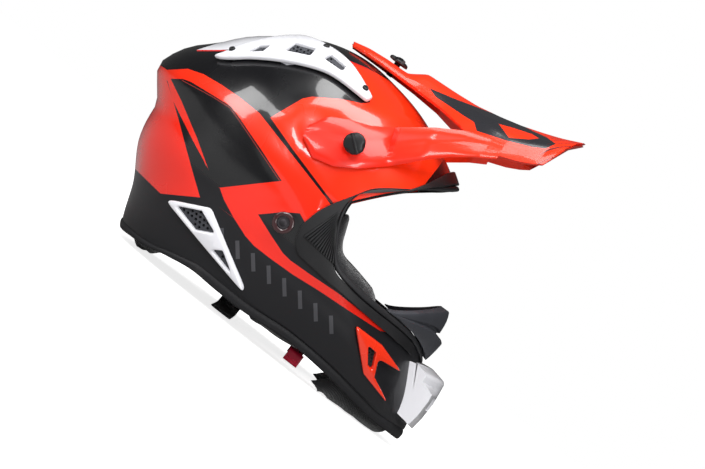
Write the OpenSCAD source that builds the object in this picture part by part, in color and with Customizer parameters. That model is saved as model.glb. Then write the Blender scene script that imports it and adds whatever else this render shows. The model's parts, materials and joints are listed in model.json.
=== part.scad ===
// Motocross helmet standing on its neck roll and chin, front towards -Y, up +Z, in millimetres.

/* [Shell] */
// Half width of the shell at its widest
half_w = 125; // [123:1:127]
// Wall thickness of the outer shell
shell_t = 4; // [3:0.5:4]
// Height of the shell's reference centre above the table
c_z = 115; // [114:1:116]
// Reach of the rear spoiler lip beyond the plain shell
spoiler = 18; // [10:1:19]

/* [Padding] */
// Thickness of the impact liner
liner_t = 26; // [18:1:28]
// Thickness of the comfort liner inside it
comfort_t = 9; // [6:1:10]
// Thickness of a cheek pad
cheek_t = 34; // [24:1:36]

/* [Peak] */
// Wall thickness of the peak
peak_t = 2.6; // [2:0.1:3]
// Height of the centre line of the peak at its tip
peak_tip_z = 303; // [296:1:306]

/* [Output] */
// Which node to draw

/* [Hidden] */
c_y = 10;
soft_gap = 2;
// radius of the side profile about the reference centre, every 15 degrees from the rear over the crown
prof = [152, 158, 152.5, 144.5, 140, 134.5, 128, 125.5, 125.5, 130, 136, 143, 152, 165, 213,
        202, 180, 168, 164, 164, 162, 156, 146, 151];
// eye port edge and base edge as [azimuth, elevation] seen from the centre, matched one to one
port_e = [[0, 45], [20, 43.5], [38.8, 38], [56, 29.5], [71.8, 19.9], [76.5, 11.8], [75.5, 3], [71, -5],
          [66, -10.5], [56, -12.2], [43, -12.6], [30, -12.5], [17.8, -12.8], [8, -14.2], [0, -15.6]];
base_e = [[180, -41.3], [164, -41.8], [149, -42], [134, -42], [120, -40.3], [107.9, -39.2], [96, -39.8],
      [84, -40],
          [74, -39], [62, -36.7], [47, -34.3], [32, -32.5], [20, -31], [9, -28.8], [0, -27.9]];
knob = [6, 180];
anchor = [12, 94];

// ---- surface ----
function mod1(a, b) = a - b * floor(a / b);
function unit(v) = v / norm(v);
function cr(a, b, c, d, t) = b + t * (c - a) / 2 + t * t * (a - 2.5 * b + 2 * c - d / 2)
                             + t * t * t * (1.5 * (b - c) + (d - a) / 2);
function radius(t) = let (k = mod1(t, 360) / 15, i = floor(k), n = len(prof))
    cr(prof[(i + n - 1) % n], prof[i % n], prof[(i + 1) % n], prof[(i + 2) % n], k - i);
function lip(t, dx) = let (a = mod1(t + 174, 360) - 180)
    spoiler * max(0, 1 - abs(a) / (a > 0 ? 18 : 9)) * max(0, 1 - pow(dx / 0.62, 2));
function power_at(t, dx) = 2.25 - 0.6 * pow(max(0, cos((t - 205) * 1.2)), 2) * (1 - dx * dx);
function surf(d, o) = let (t = mod1(atan2(d[2], d[1]), 360), h = norm([d[1], d[2]]), n = power_at(t, d[0]),
    r = radius(t) + (o < -shell_t ? 0 : lip(t, d[0])) + o,
    k = pow(pow(abs(d[0]) / (half_w + o), n) + pow(h / r, n), -1 / n)) [d[0] * k, c_y + d[1] * k,
          c_z + d[2] * k];
function wide(t, q, dx) = let (n = power_at(t, dx)) half_w * pow(1 - pow(q, n), 1 / n);
// side distance of the shell at a point of the side view
function sx(y, z) = let (t = mod1(atan2(z - c_z, y - c_y), 360), r = norm([y - c_y, z - c_z]),
    q = min(r / radius(t), 0.985), a = wide(t, q, 0.7), b = wide(t, q, a / norm([a, r])))
    wide(t, q, b / norm([b, r]));
function onto(y, z, s, o) = surf(unit([s * sx(y, z), y - c_y, z - c_z]), o);
function aim(e) = [sin(e[0]) * cos(e[1]), -cos(e[0]) * cos(e[1]), sin(e[1])];
function edge(list, u, turn) = let (i = min(floor(u), 13), f = u - i, last = 14)
    cr(i == 0 ? [2 * turn - list[1][0], list[1][1]] : list[i - 1], list[i], list[i + 1],
       i == last - 1 ? [-list[last - 1][0], list[last - 1][1]] : list[i + 2], f);
function mirror_x(v, s) = [s * v[0], v[1], v[2]];
// direction for a place u along the edges, v from the eye port edge (0) to the base edge (1)
function wrap_u(u) = u > 14 ? u - 28 : u;
function ctrl(a, b, u) = unit(a + b + [0, 0, 1.8 * pow(max(0, 1 - u / 3.6), 1.3)]);
function heading(u0, v) = let (w = wrap_u(u0), u = abs(w), a = aim(edge(port_e, u, 0)),
      b = aim(edge(base_e, u, 180)),
    m = ctrl(a, b, u))
    mirror_x(unit((1 - v) * (1 - v) * a + 2 * v * (1 - v) * m + v * v * b), w < 0 ? -1 : 1);
// how far v runs for one millimetre at the eye port edge and at the base edge
function per_a(u0) = let (u = abs(wrap_u(u0)), a = aim(edge(port_e, u, 0)), b = aim(edge(base_e, u, 180)),
    m = ctrl(a, b, u)) 1 / (2 * norm(cross(a, m)) * norm(surf(a, 0) - [0, c_y, c_z]));
function per_b(u0) = let (u = abs(wrap_u(u0)), a = aim(edge(port_e, u, 0)), b = aim(edge(base_e, u, 180)),
    m = ctrl(a, b, u)) 1 / (2 * norm(cross(b, m)) * norm(surf(b, 0) - [0, c_y, c_z]));
function steps(a, b, n) = [for (i = [0:n]) a + (b - a) * i / n];
half_u = concat([for (i = [0:11]) i / 3], [for (i = [0:15]) 4 + i * 2 / 3]);
full_u = concat(half_u, [for (i = [1:len(half_u) - 2]) -half_u[len(half_u) - 1 - i]]);
function blend(list, u) = let (i = min(floor(u),
      len(list) - 2)) list[i] + (list[i + 1] - list[i]) * (u - i);

// ---- closed solids built on the surface ----
function tri_strip(nu, nv, wrap, base, flip) = [for (i = [0:(wrap ? nu - 1 : nu - 2)], j = [0:nv - 2])
    let (a = base + i * nv + j, b = base + ((i + 1) % nu) * nv + j) each (flip
        ? [[a, b, a + 1], [b, b + 1, a + 1]] : [[a, a + 1, b], [b, a + 1, b + 1]])];
function rim_strip(nu, nv, wrap, j, flip) = let (n = nu * nv) [for (i = [0:(wrap ? nu - 1 : nu - 2)])
    let (a = i * nv + j, b = ((i + 1) % nu) * nv + j) each (flip
        ? [[a, n + a, b], [b, n + a, n + b]] : [[a, b, n + a], [b, n + b, n + a]])];
function end_strip(nu, nv, i, flip) = let (n = nu * nv) [for (j = [0:nv - 2])
    let (a = i * nv + j, b = a + 1) each (flip
        ? [[a, b, n + a], [b, n + b, n + a]] : [[a, n + a, b], [b, n + a, n + b]])];
module sheet_solid(outer, inner, nu, nv, wrap) {
    polyhedron(concat(outer, inner), concat(
        tri_strip(nu, nv, wrap, 0, false), tri_strip(nu, nv, wrap, nu * nv, true),
        rim_strip(nu, nv, wrap, 0, false), rim_strip(nu, nv, wrap, nv - 1, true),
        wrap ? [] : end_strip(nu, nv, 0, false), wrap ? [] : end_strip(nu, nv, nu - 1, true)),
              convexity = 6);
}
function rest(p) = [p[0], p[1], max(p[2], 0)];
module skin(us, va, vb, oi, oo, nv, wrap = false, puff = 0) {
    n = len(us);
    function at(i, j) = heading(us[i], va[i] + (vb[i] - va[i]) * j / (nv - 1));
    function soft(j) = puff * (1 - pow(sin(180 * j / (nv - 1)), 0.6));
    sheet_solid([for (i = [0:n - 1], j = [0:nv - 1]) rest(surf(at(i, j), oo[i]))],
                [for (i = [0:n - 1], j = [0:nv - 1]) rest(surf(at(i, j), oi[i] + soft(j)))], n, nv, wrap);
}
function same(us, x) = [for (u = us) x];
// plate over an outline of the side view, s = -1 for the right side and 1 for the left
function centre_of(p) = [for (k = [0:1]) let (t = [for (q = p) q[k]]) (t * [for (q = p) 1]) / len(p)];
function area(p) = [for (i = [0:len(p) - 1]) cross(p[i], p[(i + 1) % len(p)])] * [for (q = p) 1];
function dense(p, n) = [for (i = [0:len(p) - 1],
      k = [0:n - 1]) p[i] + (p[(i + 1) % len(p)] - p[i]) * k / n];
module plate(p, s, o1, o2, rings = 3, n = 4, mid = undef) {
    m = is_undef(mid) ? centre_of(p) : mid;
    q = dense(p, n);
    k = len(q);
    function ring(o) = [for (r = [1:rings],
          i = [0:k - 1]) let (a = m + (q[i] - m) * r / rings) onto(a[0], a[1], s, o)];
    function web(b, c, f) = concat(
        [for (i = [0:k - 1]) f ? [c, b + i, b + (i + 1) % k] : [c, b + (i + 1) % k, b + i]],
        [for (r = [0:rings - 2], i = [0:k - 1]) let (a = b + r * k + i, d = b + r * k + (i + 1) % k)
            each (f ? [[a, a + k, d], [d, a + k, d + k]] : [[a, d, a + k], [d, d + k, a + k]])]);
    total = rings * k;
    rim = (rings - 1) * k;
    turn = s * area(p) < 0;
    polyhedron(concat(ring(o2), ring(o1), [onto(m[0], m[1], s, o2), onto(m[0], m[1], s, o1)]),
        concat(web(0, 2 * total, turn), web(total, 2 * total + 1, !turn),
            [for (i = [0:k - 1]) let (a = rim + i, b = rim + (i + 1) % k, c = total)
                each (turn ? [[a, a + c, b], [b, a + c, b + c]] : [[a, b, a + c], [b, b + c, a + c]])]),
                      convexity = 6);
}
// plate between a lower and an upper edge of the side view
module strip(lo, up, s, o1, o2, nv) {
    n = len(lo);
    top = [for (i = [0:n - 1],
          j = [0:nv - 1]) let (a = lo[i] + (up[i] - lo[i]) * j / (nv - 1)) onto(a[0], a[1], s, o2)];
    low = [for (i = [0:n - 1],
          j = [0:nv - 1]) let (a = lo[i] + (up[i] - lo[i]) * j / (nv - 1)) onto(a[0], a[1], s, o1)];
    if (s > 0) sheet_solid(low, top, n, nv, false);
    else sheet_solid(top, low, n, nv, false);
}
// flat prism along X over an outline of the side view
module bore_x(p, x0, x1) {
    translate([x0, 0, 0]) rotate([90, 0, 90]) linear_extrude(x1 - x0) polygon(p);
}
module at_surface(y, z, s, o) {
    e = 0.5;
    p = onto(y, z, s, o);
    v = cross(onto(y + e, z, s, o) - p, onto(y, z + e, s, o) - p) * s;
    n = unit(v);
    translate(p) rotate([0, acos(n[2]), atan2(n[1], n[0])]) children();
}

// ---- shell and liners ----
module outer_shell() color([0.95, 0.16, 0.05]) {
    skin(full_u, same(full_u, 0), same(full_u, 1), same(full_u, -shell_t), same(full_u, 0), 21, true);
}
liner_u = steps(-3.75, 3.75, 22);
module impact_liner() color([0.16, 0.16, 0.17]) {
    skin(liner_u, [for (u = liner_u) 5 * per_a(u)], [for (u = liner_u) 1 - 22 * per_b(u)],
         same(liner_u, -shell_t - soft_gap - liner_t), same(liner_u, -shell_t - 1.6 * soft_gap), 15);
}
chin_u = steps(10.8, 17.2, 12);
module chin_foam() color([0.16, 0.16, 0.17]) {
    skin(chin_u, [for (u = chin_u) 4 * per_a(u)], [for (u = chin_u) 1 - 14 * per_b(u)],
         same(chin_u, -shell_t - soft_gap - 16), same(chin_u, -shell_t - soft_gap), 6);
}
module comfort_liner() color([0.1, 0.1, 0.11]) {
    us = steps(-3.65, 3.65, 22);
    o = -shell_t - 3.4 * soft_gap - liner_t;
    skin(us, [for (u = us) 7 * per_a(u)], [for (u = us) 1 - 34 * per_b(u)],
         same(us, o - comfort_t), same(us, o), 15, false, 4);
}
module neck_roll() color([0.1, 0.1, 0.11]) {
    us = steps(-3.9, 3.9, 20);
    skin(us, [for (u = us) 1 - 20 * per_b(u)], [for (u = us) 1 + 58 * per_b(u)],
         same(us, -31), same(us, -9.5), 10, false, 5);
}
module chin_curtain() color([0.12, 0.12, 0.13]) {
    us = steps(11, 17, 12);
    skin(us, [for (u = us) 1 - 11 * per_b(u)], [for (u = us) 1 + 44 * per_b(u)],
         same(us, -22), same(us, -9.5), 7, false, 3);
}
module base_trim() color([0.06, 0.06, 0.065]) {
    skin(full_u, [for (u = full_u) 1 + 0.3 * per_b(u)], [for (u = full_u) 1 + 10 * per_b(u)],
         same(full_u, -8), same(full_u, 1.2), 3, true);
}
module eyeport_gasket() color([0.3, 0.3, 0.31]) {
    skin(full_u, [for (u = full_u) -4.5 * per_a(u)], [for (u = full_u) -0.3 * per_a(u)],
         same(full_u, -6), same(full_u, 2.4), 3, true);
}
module brow_bezel() color([0.09, 0.085, 0.085]) {
    us = steps(-3.2, 3.2, 13);
    skin(us, [for (u = us) 0.5 * per_a(u)], [for (u = us) (13 - abs(u) / 2) * per_a(u)],
         same(us, 0.9), same(us, 3.6), 4);
}
panel_w = [10, 10, 10, 10, 20, 28, 25, 24, 14, 12, 11, 10, 10, 10, 10];
module side_panel(s) color([0.05, 0.05, 0.055]) {
    us = s > 0 ? steps(4.15, 12.2, 20) : steps(-12.2, -4.15, 20);
    skin(us, [for (u = us) 0.5 * per_a(u)], [for (u = us) blend(panel_w, abs(u)) * per_a(u)],
         same(us, 0.5), same(us, 2.4), 4);
}
module side_panel_left() side_panel(1);
module side_panel_right() side_panel(-1);
module rib_pad(s) color([0.07, 0.07, 0.075]) {
    for (k = [0:4]) let (a = k / 5 + 0.02, b = a + 0.13)
        plate([[-7 - 33 * a, 96 - 3 * a], [-7 - 33 * b, 96 - 3 * b],
               [-17 - 10 * b, 128 - 16 * b], [-17 - 10 * a, 128 - 16 * a]], s, 3, 4.4, 2, 2);
}
module rib_pad_left() rib_pad(1);
module rib_pad_right() rib_pad(-1);

// ---- chin ----
function hump(u, w, p) = pow(max(0, 1 - pow(abs(u - 14) / w, 2)), p);
module nose_guard() color([0.27, 0.28, 0.31]) {
    us = steps(10.4, 17.6, 24);
    skin(us, [for (u = us) -(6 + 44 * hump(u, 3.7, 1.6)) * per_a(u)], [for (u = us) -5.3 * per_a(u)],
         same(us, -4), [for (u = us) 1 + 3 * hump(u, 3, 1)], 6);
}
// chin piece: centre profile as [y, z], then pulled back and narrowed towards its sides
mouth_w = 37;
mouth_y = 180.8;
mouth_p = [[-151, 69.5], [-162, 73], [-178, 70], [-mouth_y, 50], [-mouth_y, 34], [-179.5, 22], [-178.5,
      24.5], [-160.5, 57]];
function mouth_back(x) = pow(abs(x) / mouth_w, 1.6);
function mouth_pt(p, x) = let (k = mouth_back(x))
    [x, (p[1] > 60 && p[0] < -160 ? p[0] + 12 * k : p[0]) + 6.5 * k,
          22 + (p[1] - 22) * (1 - 0.1 * k) + 2 * k];
module mouth_vent() color([0.9, 0.9, 0.93]) difference() {
    xs = [-mouth_w, -26, -12, 0, 12, 26, mouth_w];
    n = len(mouth_p);
    polyhedron([for (x = xs, p = mouth_p) mouth_pt(p, x)], concat([[for (i = [0:n - 1]) i]],
        [[for (i = [0:n - 1]) len(xs) * n - 1 - i]],
        [for (k = [0:len(xs) - 2], i = [0:n - 1]) let (a = k * n + i, b = k * n + (i + 1) % n)
            each [[a, a + n, b], [b, a + n, b + n]]]), convexity = 6);
    for (s = [-1, 1]) translate([s * 14.5, -170, 48]) cube([22, 60, 13], center = true);
}
module mouth_vent_mesh() color([0.05, 0.05, 0.05])
    for (s = [-1, 1]) translate([s * 14.5, -170, 48]) difference() {
        cube([21.4, 1.2, 12.4], center = true);
        for (i = [-3:3], j = [-1:1]) translate([i * 2.8, 0, j * 3.6]) cube([1.7, 3, 2.5], center = true);
    }
// every corner of the vent is in plain sight of vent_mid
vent_a = [[-84, 65], [-113, 38], [-147, 29], [-120, 45.5], [-116, 50], [-138, 57], [-112, 65]];
vent_mid = [-104, 53];
module chin_vent(s) color([0.95, 0.3, 0.1]) difference() {
    plate(vent_a, s, 0.7, 3.7, 3, 2, vent_mid);
    bore_x([[-100, 58], [-108.5, 57], [-113.5, 46], [-108.5, 46]], s > 0 ? 40 : -140, s > 0 ? 140 : -40);
}
module chin_vent_left() chin_vent(1);
module chin_vent_right() chin_vent(-1);
module chin_vent_mesh() color([0.05, 0.05, 0.05])
    for (s = [-1, 1]) plate([[-102, 56.6], [-107.6, 55.6], [-111.8, 47.6], [-109.6, 47.6]], s, 0.5, 1.5, 2, 2);

// ---- crown and rear vents ----
crown_lo = [[138, 165], [126, 174], [116, 182], [99, 193], [80, 203], [62, 210], [48, 212], [30, 212],
      [21, 212.5]];
crown_up = [[139, 167], [134, 176], [129, 186], [113, 207], [97, 222], [82, 228], [62, 230], [44, 227.5],
      [21, 218]];
crown_w = [[[121, 183], [110, 192], [108, 200], [116, 194]], [[97, 203], [78, 212], [78, 220], [95, 214]],
           [[68, 217], [50, 218], [50, 223], [66, 224]]];
screw_at = [[130, 178], [72.5, 226], [27, 217.5]];
module crown_vent(s) color([0.93, 0.93, 0.96]) difference() {
    strip(crown_lo, crown_up, s, 1, 5.4, 5);
    for (p = crown_w) bore_x(p, s > 0 ? 10 : -120, s > 0 ? 120 : -10);
}
module crown_vent_left() crown_vent(1);
module crown_vent_right() crown_vent(-1);
function shrink(p, k) = let (m = centre_of(p)) [for (q = p) m + (q - m) * k];
module crown_vent_mesh() color([0.05, 0.05, 0.05])
    for (s = [-1, 1], p = crown_w) plate(shrink(p, 0.42), s, 0.9, 1.8, 2, 2);
module crown_vent_screws() color([0.04, 0.04, 0.04])
    for (s = [-1, 1], p = screw_at) at_surface(p[0], p[1], s, 5.8) difference() {
        cylinder(r = 2.7, h = 1.8, $fn = 24);
        translate([0, 0, 1]) cylinder(r = 1.3, h = 2, $fn = 6);
    }
rear_p = [[99, 51], [65, 68], [-3, 30]];
rear_w = [[[88, 52.5], [68, 62.5], [49, 55], [64, 47]], [[44, 43], [36, 48], [17, 36.5]]];
module rear_vent(s) color([0.93, 0.93, 0.96]) difference() {
    plate(rear_p, s, 0.6, 4.6, 3, 6);
    for (p = rear_w) bore_x(p, s > 0 ? 60 : -150, s > 0 ? 150 : -60);
}
module rear_vent_left() rear_vent(1);
module rear_vent_right() rear_vent(-1);
module rear_vent_mesh() color([0.05, 0.05, 0.05])
    for (s = [-1, 1], p = rear_w) plate(shrink(p, 0.46), s, 0.7, 2, 2, 3);

// ---- straps ----
module anchor_rings() color([0.75, 0.72, 0.74])
    for (s = [-1, 1]) translate([s * (sx(anchor[0], anchor[1]) + 0.4), anchor[0], anchor[1]]) rotate([0,
          s * 90, 0])
        difference() {
            cylinder(r = 9, h = 2.4, $fn = 48);
            translate([0, 0, 1.6]) cylinder(r = 5.4, h = 2, $fn = 48);
        }
// webbing swept along a path in the XZ plane
module web_strap(path, y0, w, t) {
    n = len(path);
    function nrm(i) = let (d = unit(path[min(i + 1, n - 1)] - path[max(i - 1, 0)])) [-d[1], d[0]] * t / 2;
    pts = [for (i = [0:n - 1]) each [for (q = [[-1, -1], [1, -1], [1, 1], [-1, 1]])
        let (a = path[i] + nrm(i) * q[1]) [a[0], y0 + q[0] * w / 2, a[1]]]];
    polyhedron(pts, concat([[0, 1, 2, 3]], [[4 * n - 1, 4 * n - 2, 4 * n - 3, 4 * n - 4]],
        [for (i = [0:n - 2], k = [0:3]) let (a = 4 * i + k, b = 4 * i + (k + 1) % 4)
            each [[a, a + 4, b], [b, a + 4, b + 4]]]), convexity = 6);
}
strap_x = 104;
ring_x = -strap_x + 9.6;
ring_y = 9;
ring_z = 42.6;
module strap_left() color([0.08, 0.08, 0.085])
    web_strap([[strap_x, 88], [strap_x - 1, 76], [strap_x - 6, 50], [strap_x - 12, 28], [strap_x - 21, 13],
               [strap_x - 34, 5], [strap_x - 52, 2.6], [strap_x - 110, 2.4], [strap_x - 150, 2.6]],
                     ring_y, 20, 2);
module strap_right() color([0.08, 0.08, 0.085]) {
    web_strap([[-strap_x, 88], [-strap_x + 1, 76], [-strap_x + 6, 56], [-strap_x + 9, 46]], ring_y, 20, 2);
    translate([ring_x, ring_y, ring_z]) rotate([90, 0, 0]) difference() {
        cylinder(r = 4.2, h = 20, center = true, $fn = 32);
        cylinder(r = 2.5, h = 22, center = true, $fn = 32);
    }
}
module d_ring(x, r, half, leg) translate([x, ring_y, ring_z]) {
    rotate([90, 0, 0]) cylinder(r = r, h = 2 * half, center = true, $fn = 16);
    for (k = [-1, 1]) translate([0, k * half, 0]) {
        sphere(r = r, $fn = 16);
        translate([0, 0, -leg]) cylinder(r = r, h = leg, $fn = 16);
    }
    translate([0, 0, -leg]) rotate([0, 90, 0]) rotate([0, 0, -90]) rotate_extrude(angle = 180, $fn = 48)
        translate([half, 0]) circle(r = r, $fn = 16);
}
module ring_keeper() color([0.72, 0.73, 0.75]) d_ring(ring_x - 1.25, 1.1, 12.2, 5);
module ring_free() color([0.72, 0.73, 0.75]) d_ring(ring_x + 1.25, 1.1, 14.7, 5);

// ---- peak ----
// stations as [y at centre, y at skirt, ridge z, rim x, rim z, skirt x, skirt z]
peak_s = [[62, 60, 251, 12, 249.5, 13, 248.6], [48, 47, 254.5, 18, 251.5, 20, 249.4], [30, 30, 256.5, 22,
      253.5, 25, 250],
          [9, 9, 257.5, 26, 254, 29, 250.4], [-5, -5, 268, 29, 256, 32, 250.6], [-31, -31, 270, 40, 257,
                46, 250],
          [-55, -53, 272, 60, 257, 68, 247], [-77, -75, 277, 77, 260, 88, 240], [-95, -93, 282, 82, 265,
                93, 246],
          [-112, -108, 288, 84, 272, 94, 252], [-130, -119, 295, 82, 279, 94, 258],
          [-147, -126, peak_tip_z, 70, 287, 92, 263]];
function rib_row(q) = [[0, q[2]], [0.4 * q[3], q[2] - 0.1 * (q[2] - q[4])], [0.75 * q[3],
      q[2] - 0.45 * (q[2] - q[4])],
                       [q[3], q[4]], [q[5], q[6]]];
function row_pt(i, j) = let (q = peak_s[i], r = rib_row(q), k = abs(j), x = r[k][0],
      f = q[5] == 0 ? 0 : pow(x / q[5], 1.7))
    [(j < 0 ? -1 : 1) * x, q[0] + (q[1] - q[0]) * f, r[k][1]];
function sink(p, t) = let (v = unit([-p[0], 0, 190 - p[2]])) p + v * t;
// side arm: [upper y, z, lower y, z, least x of the upper edge, of the lower edge]
arm_s = [[45, 168, 42, 158, 0, 0], [37, 184, 26, 150, 0, 0], [22, 193, 8, 155, 0, 0], [5, 200, -9, 166,
      0, 0],
         [-15, 214, -27, 183, 106, 106], [-38, 232, -45, 203, 99, 104], [-60, 246, -63, 221, 87, 96],
         [-78, 254, -80, 234, 80, 90], [-90, 257, -93, 242, 83.5, 91]];
module arm(s) {
    n = len(arm_s);
    function ax(y, z, m) = max(m, z < 215 ? sx(y, z) + 3.2 : 0);
    function row(i, o) = let (q = arm_s[i]) [for (k = [0:3]) let (y = q[0] + (q[2] - q[0]) * k / 3,
        z = q[1] + (q[3] - q[1]) * k / 3) [s * (ax(y, z, q[4] + (q[5] - q[4]) * k / 3) + o), y, z]];
    out = [for (i = [0:n - 1]) each row(i, peak_t + 0.4)];
    inn = [for (i = [0:n - 1]) each row(i, 0)];
    if (s > 0) sheet_solid(out, inn, n, 4, false);
    else sheet_solid(inn, out, n, 4, false);
}
module peak() color([0.95, 0.18, 0.06]) difference() {
    n = len(peak_s);
    top = [for (i = [0:n - 1], j = [-4:4]) row_pt(i, j)];
    low = [for (i = [0:n - 1], j = [-4:4]) sink(row_pt(i, j), peak_t)];
    union() {
        sheet_solid(top, low, n, 9, false);
        for (s = [-1, 1]) arm(s);
        for (s = [-1, 1]) translate([s * 122, knob[0], knob[1]]) rotate([0, 90, 0])
            cylinder(r = 9, h = 10, center = true, $fn = 48);
    }
    for (s = [-1, 1]) translate([s * 121, knob[0], knob[1]]) rotate([0, 90, 0])
        cylinder(r = 3.05, h = 60, center = true, $fn = 48);
    translate([0, 21, 250]) hull() for (y = [-9, 12]) translate([0, y, 0]) cylinder(r = 3.6, h = 40,
          center = true, $fn = 24);
}
module thumb_screw(shank, head, r) {
    difference() {
        cylinder(r = r, h = head, $fn = 48);
        for (k = [0:2]) rotate([0, 0, 120 * k + 60]) translate([r + 1.4, 0, head / 2 + 1.2])
            cylinder(r = 5, h = head, center = true, $fn = 32);
    }
    translate([0, 0, -shank]) cylinder(r = 3, h = shank + 0.5, $fn = 48);
}
module side_screw(s) color([0.05, 0.05, 0.05])
    translate([s * 128.2, knob[0], knob[1]]) rotate([0, s * 90, 0]) thumb_screw(14.2, 5.5, 9.3);
module side_screw_left() side_screw(1);
module side_screw_right() side_screw(-1);
module centre_screw() color([0.05, 0.05, 0.05]) translate([0, 21, 259.4]) thumb_screw(13.4, 5.5, 9.3);

// ---- cheek pads ----
pad_o = [[-11, 106], [-18, 122], [-23, 137], [-31, 121], [-40, 105], [-50, 102], [-73, 97], [-88, 90],
      [-92, 60],
         [-84, 26], [-50, 16], [-26, 15], [-9, 17], [-8, 60]];
function pad_x(y) = sx(y, y < -40 ? 26 : 25) - 11.5;
module cheek_pad(s) {
    m = centre_of(pad_o);
    q = dense(pad_o, 2);
    k = len(q);
    function lay(f, o) = [for (i = [0:k - 1]) let (a = m + (q[i] - m) * f) [s * (pad_x(a[0]) - o), a[0],
          a[1]]];
    pts = concat(lay(0.93, 0), lay(1, 7), lay(1, 18), lay(0.9, 0.85 * cheek_t), lay(0.6, cheek_t),
        [[s * pad_x(m[0]), m[0], m[1]], [s * (pad_x(m[0]) - cheek_t - 2), m[0], m[1]]]);
    turn = s > 0;
    color([0.09, 0.09, 0.1]) polyhedron(pts, concat(
        [for (i = [0:k - 1], e = [0, 1]) let (a = 4 * e * k + i, b = 4 * e * k + (i + 1) % k, c = 5 * k + e)
            (turn ? e == 0 : e == 1) ? [a, c, b] : [a, b, c]],
        [for (r = [0:3], i = [0:k - 1]) let (a = r * k + i, b = r * k + (i + 1) % k)
            each (turn ? [[a, b, a + k], [b, b + k, a + k]] : [[a, a + k, b], [b, a + k, b + k]])]),
                  convexity = 6);
}
module cheek_pad_left() cheek_pad(1);
module cheek_pad_right() cheek_pad(-1);
module release_tab(s) color([0.6, 0.06, 0.13])
    translate([s * (pad_x(-62) - 12), -62, 11]) difference() {
        cube([2.4, 14, 12], center = true);
        translate([0, 0, -1]) cube([4, 7, 5], center = true);
    }
module release_tab_left() release_tab(1);
module release_tab_right() release_tab(-1);
module pad_snaps(s) color([0.5, 0.5, 0.52])
    for (p = [[-20, 100], [-30, 40], [-70, 60]]) translate([s * (pad_x(p[0]) + 1.3), p[0],
          p[1]]) rotate([0, s * 90, 0]) {
        cylinder(r = 5, h = 1.4, $fn = 32);
        cylinder(r = 2.4, h = 3.6, $fn = 24);
    }
module pad_snaps_left() pad_snaps(1);
module pad_snaps_right() pad_snaps(-1);

outer_shell();
impact_liner();
chin_foam();
comfort_liner();
neck_roll();
chin_curtain();
base_trim();
eyeport_gasket();
brow_bezel();
side_panel_left();
side_panel_right();
rib_pad_left();
rib_pad_right();
nose_guard();
mouth_vent();
mouth_vent_mesh();
chin_vent_left();
chin_vent_right();
chin_vent_mesh();
crown_vent_left();
crown_vent_right();
crown_vent_mesh();
crown_vent_screws();
rear_vent_left();
rear_vent_right();
rear_vent_mesh();
anchor_rings();
strap_left();
strap_right();
ring_keeper();
ring_free();
peak();
side_screw_left();
side_screw_right();
centre_screw();
cheek_pad_left();
cheek_pad_right();
release_tab_left();
release_tab_right();
pad_snaps_left();
pad_snaps_right();
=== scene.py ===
import json
import math
import bpy
import bmesh
import numpy as np
from mathutils import Matrix, Vector
from mathutils.geometry import tessellate_polygon


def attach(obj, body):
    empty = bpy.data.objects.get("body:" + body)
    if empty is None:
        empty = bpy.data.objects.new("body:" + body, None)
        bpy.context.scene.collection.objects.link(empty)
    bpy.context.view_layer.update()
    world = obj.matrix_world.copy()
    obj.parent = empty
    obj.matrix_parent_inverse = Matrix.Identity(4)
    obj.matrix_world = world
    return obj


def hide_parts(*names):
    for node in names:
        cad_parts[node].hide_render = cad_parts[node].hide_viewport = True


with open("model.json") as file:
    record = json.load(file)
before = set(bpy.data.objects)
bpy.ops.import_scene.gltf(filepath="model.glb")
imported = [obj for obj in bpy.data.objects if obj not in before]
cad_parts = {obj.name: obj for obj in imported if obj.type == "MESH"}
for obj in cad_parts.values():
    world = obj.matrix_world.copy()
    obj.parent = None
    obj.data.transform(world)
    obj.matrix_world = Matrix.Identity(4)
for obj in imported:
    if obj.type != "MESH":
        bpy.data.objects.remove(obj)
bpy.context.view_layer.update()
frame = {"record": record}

# ---------------------------------------------------------------- surface of the shell, in millimetres
HALF_W, SHELL_T, SPOILER, C_Y, C_Z = 125.0, 4.0, 18.0, 10.0, 115.0
PROF = np.array([152, 158, 152.5, 144.5, 140, 134.5, 128, 125.5, 125.5, 130, 136, 143, 152, 165, 213,
                 202, 180, 168, 164, 164, 162, 156, 146, 151], float)
PORT_E = np.array([[0, 45], [20, 43.5], [38.8, 38], [56, 29.5], [71.8, 19.9], [76.5, 11.8], [75.5, 3],
                   [71, -5],
                   [66, -10.5], [56, -12.2], [43, -12.6], [30, -12.5], [17.8, -12.8], [8, -14.2],
                   [0, -15.6]], float)
BASE_E = np.array([[180, -41.3], [164, -41.8], [149, -42], [134, -42], [120, -40.3], [107.9, -39.2],
                   [96, -39.8],
                   [84, -40], [74, -39], [62, -36.7], [47, -34.3], [32, -32.5], [20, -31], [9, -28.8],
                   [0, -27.9]], float)
CENTRE = np.array([0, C_Y, C_Z])


def unit(v):
    return v / np.linalg.norm(v, axis=-1, keepdims=True)


def cr(a, b, c, d, t):
    """The Catmull-Rom curve from b to c, at t from 0 to 1."""
    return b + t * (c - a) / 2 + t * t * (a - 2.5 * b + 2 * c - d / 2) + t ** 3 * (1.5 * (b - c) + (d - a) / 2)


def radius(t):
    k = np.mod(t, 360) / 15
    i = np.floor(k).astype(int)
    n = len(PROF)
    return cr(PROF[(i - 1) % n], PROF[i % n], PROF[(i + 1) % n], PROF[(i + 2) % n], k - i)


def lip(t, dx):
    """How far the tail behind the neck stands out, at the angle t and the sideways share dx of the direction."""
    a = np.mod(t + 174, 360) - 180
    along = np.maximum(0, 1 - np.abs(a) / np.where(a > 0, 18.0, 9.0))
    return SPOILER * along * np.maximum(0, 1 - (dx / 0.62) ** 2)


def power_at(t, dx):
    return 2.25 - 0.6 * np.maximum(0, np.cos(np.radians((t - 205) * 1.2))) ** 2 * (1 - dx * dx)


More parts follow.
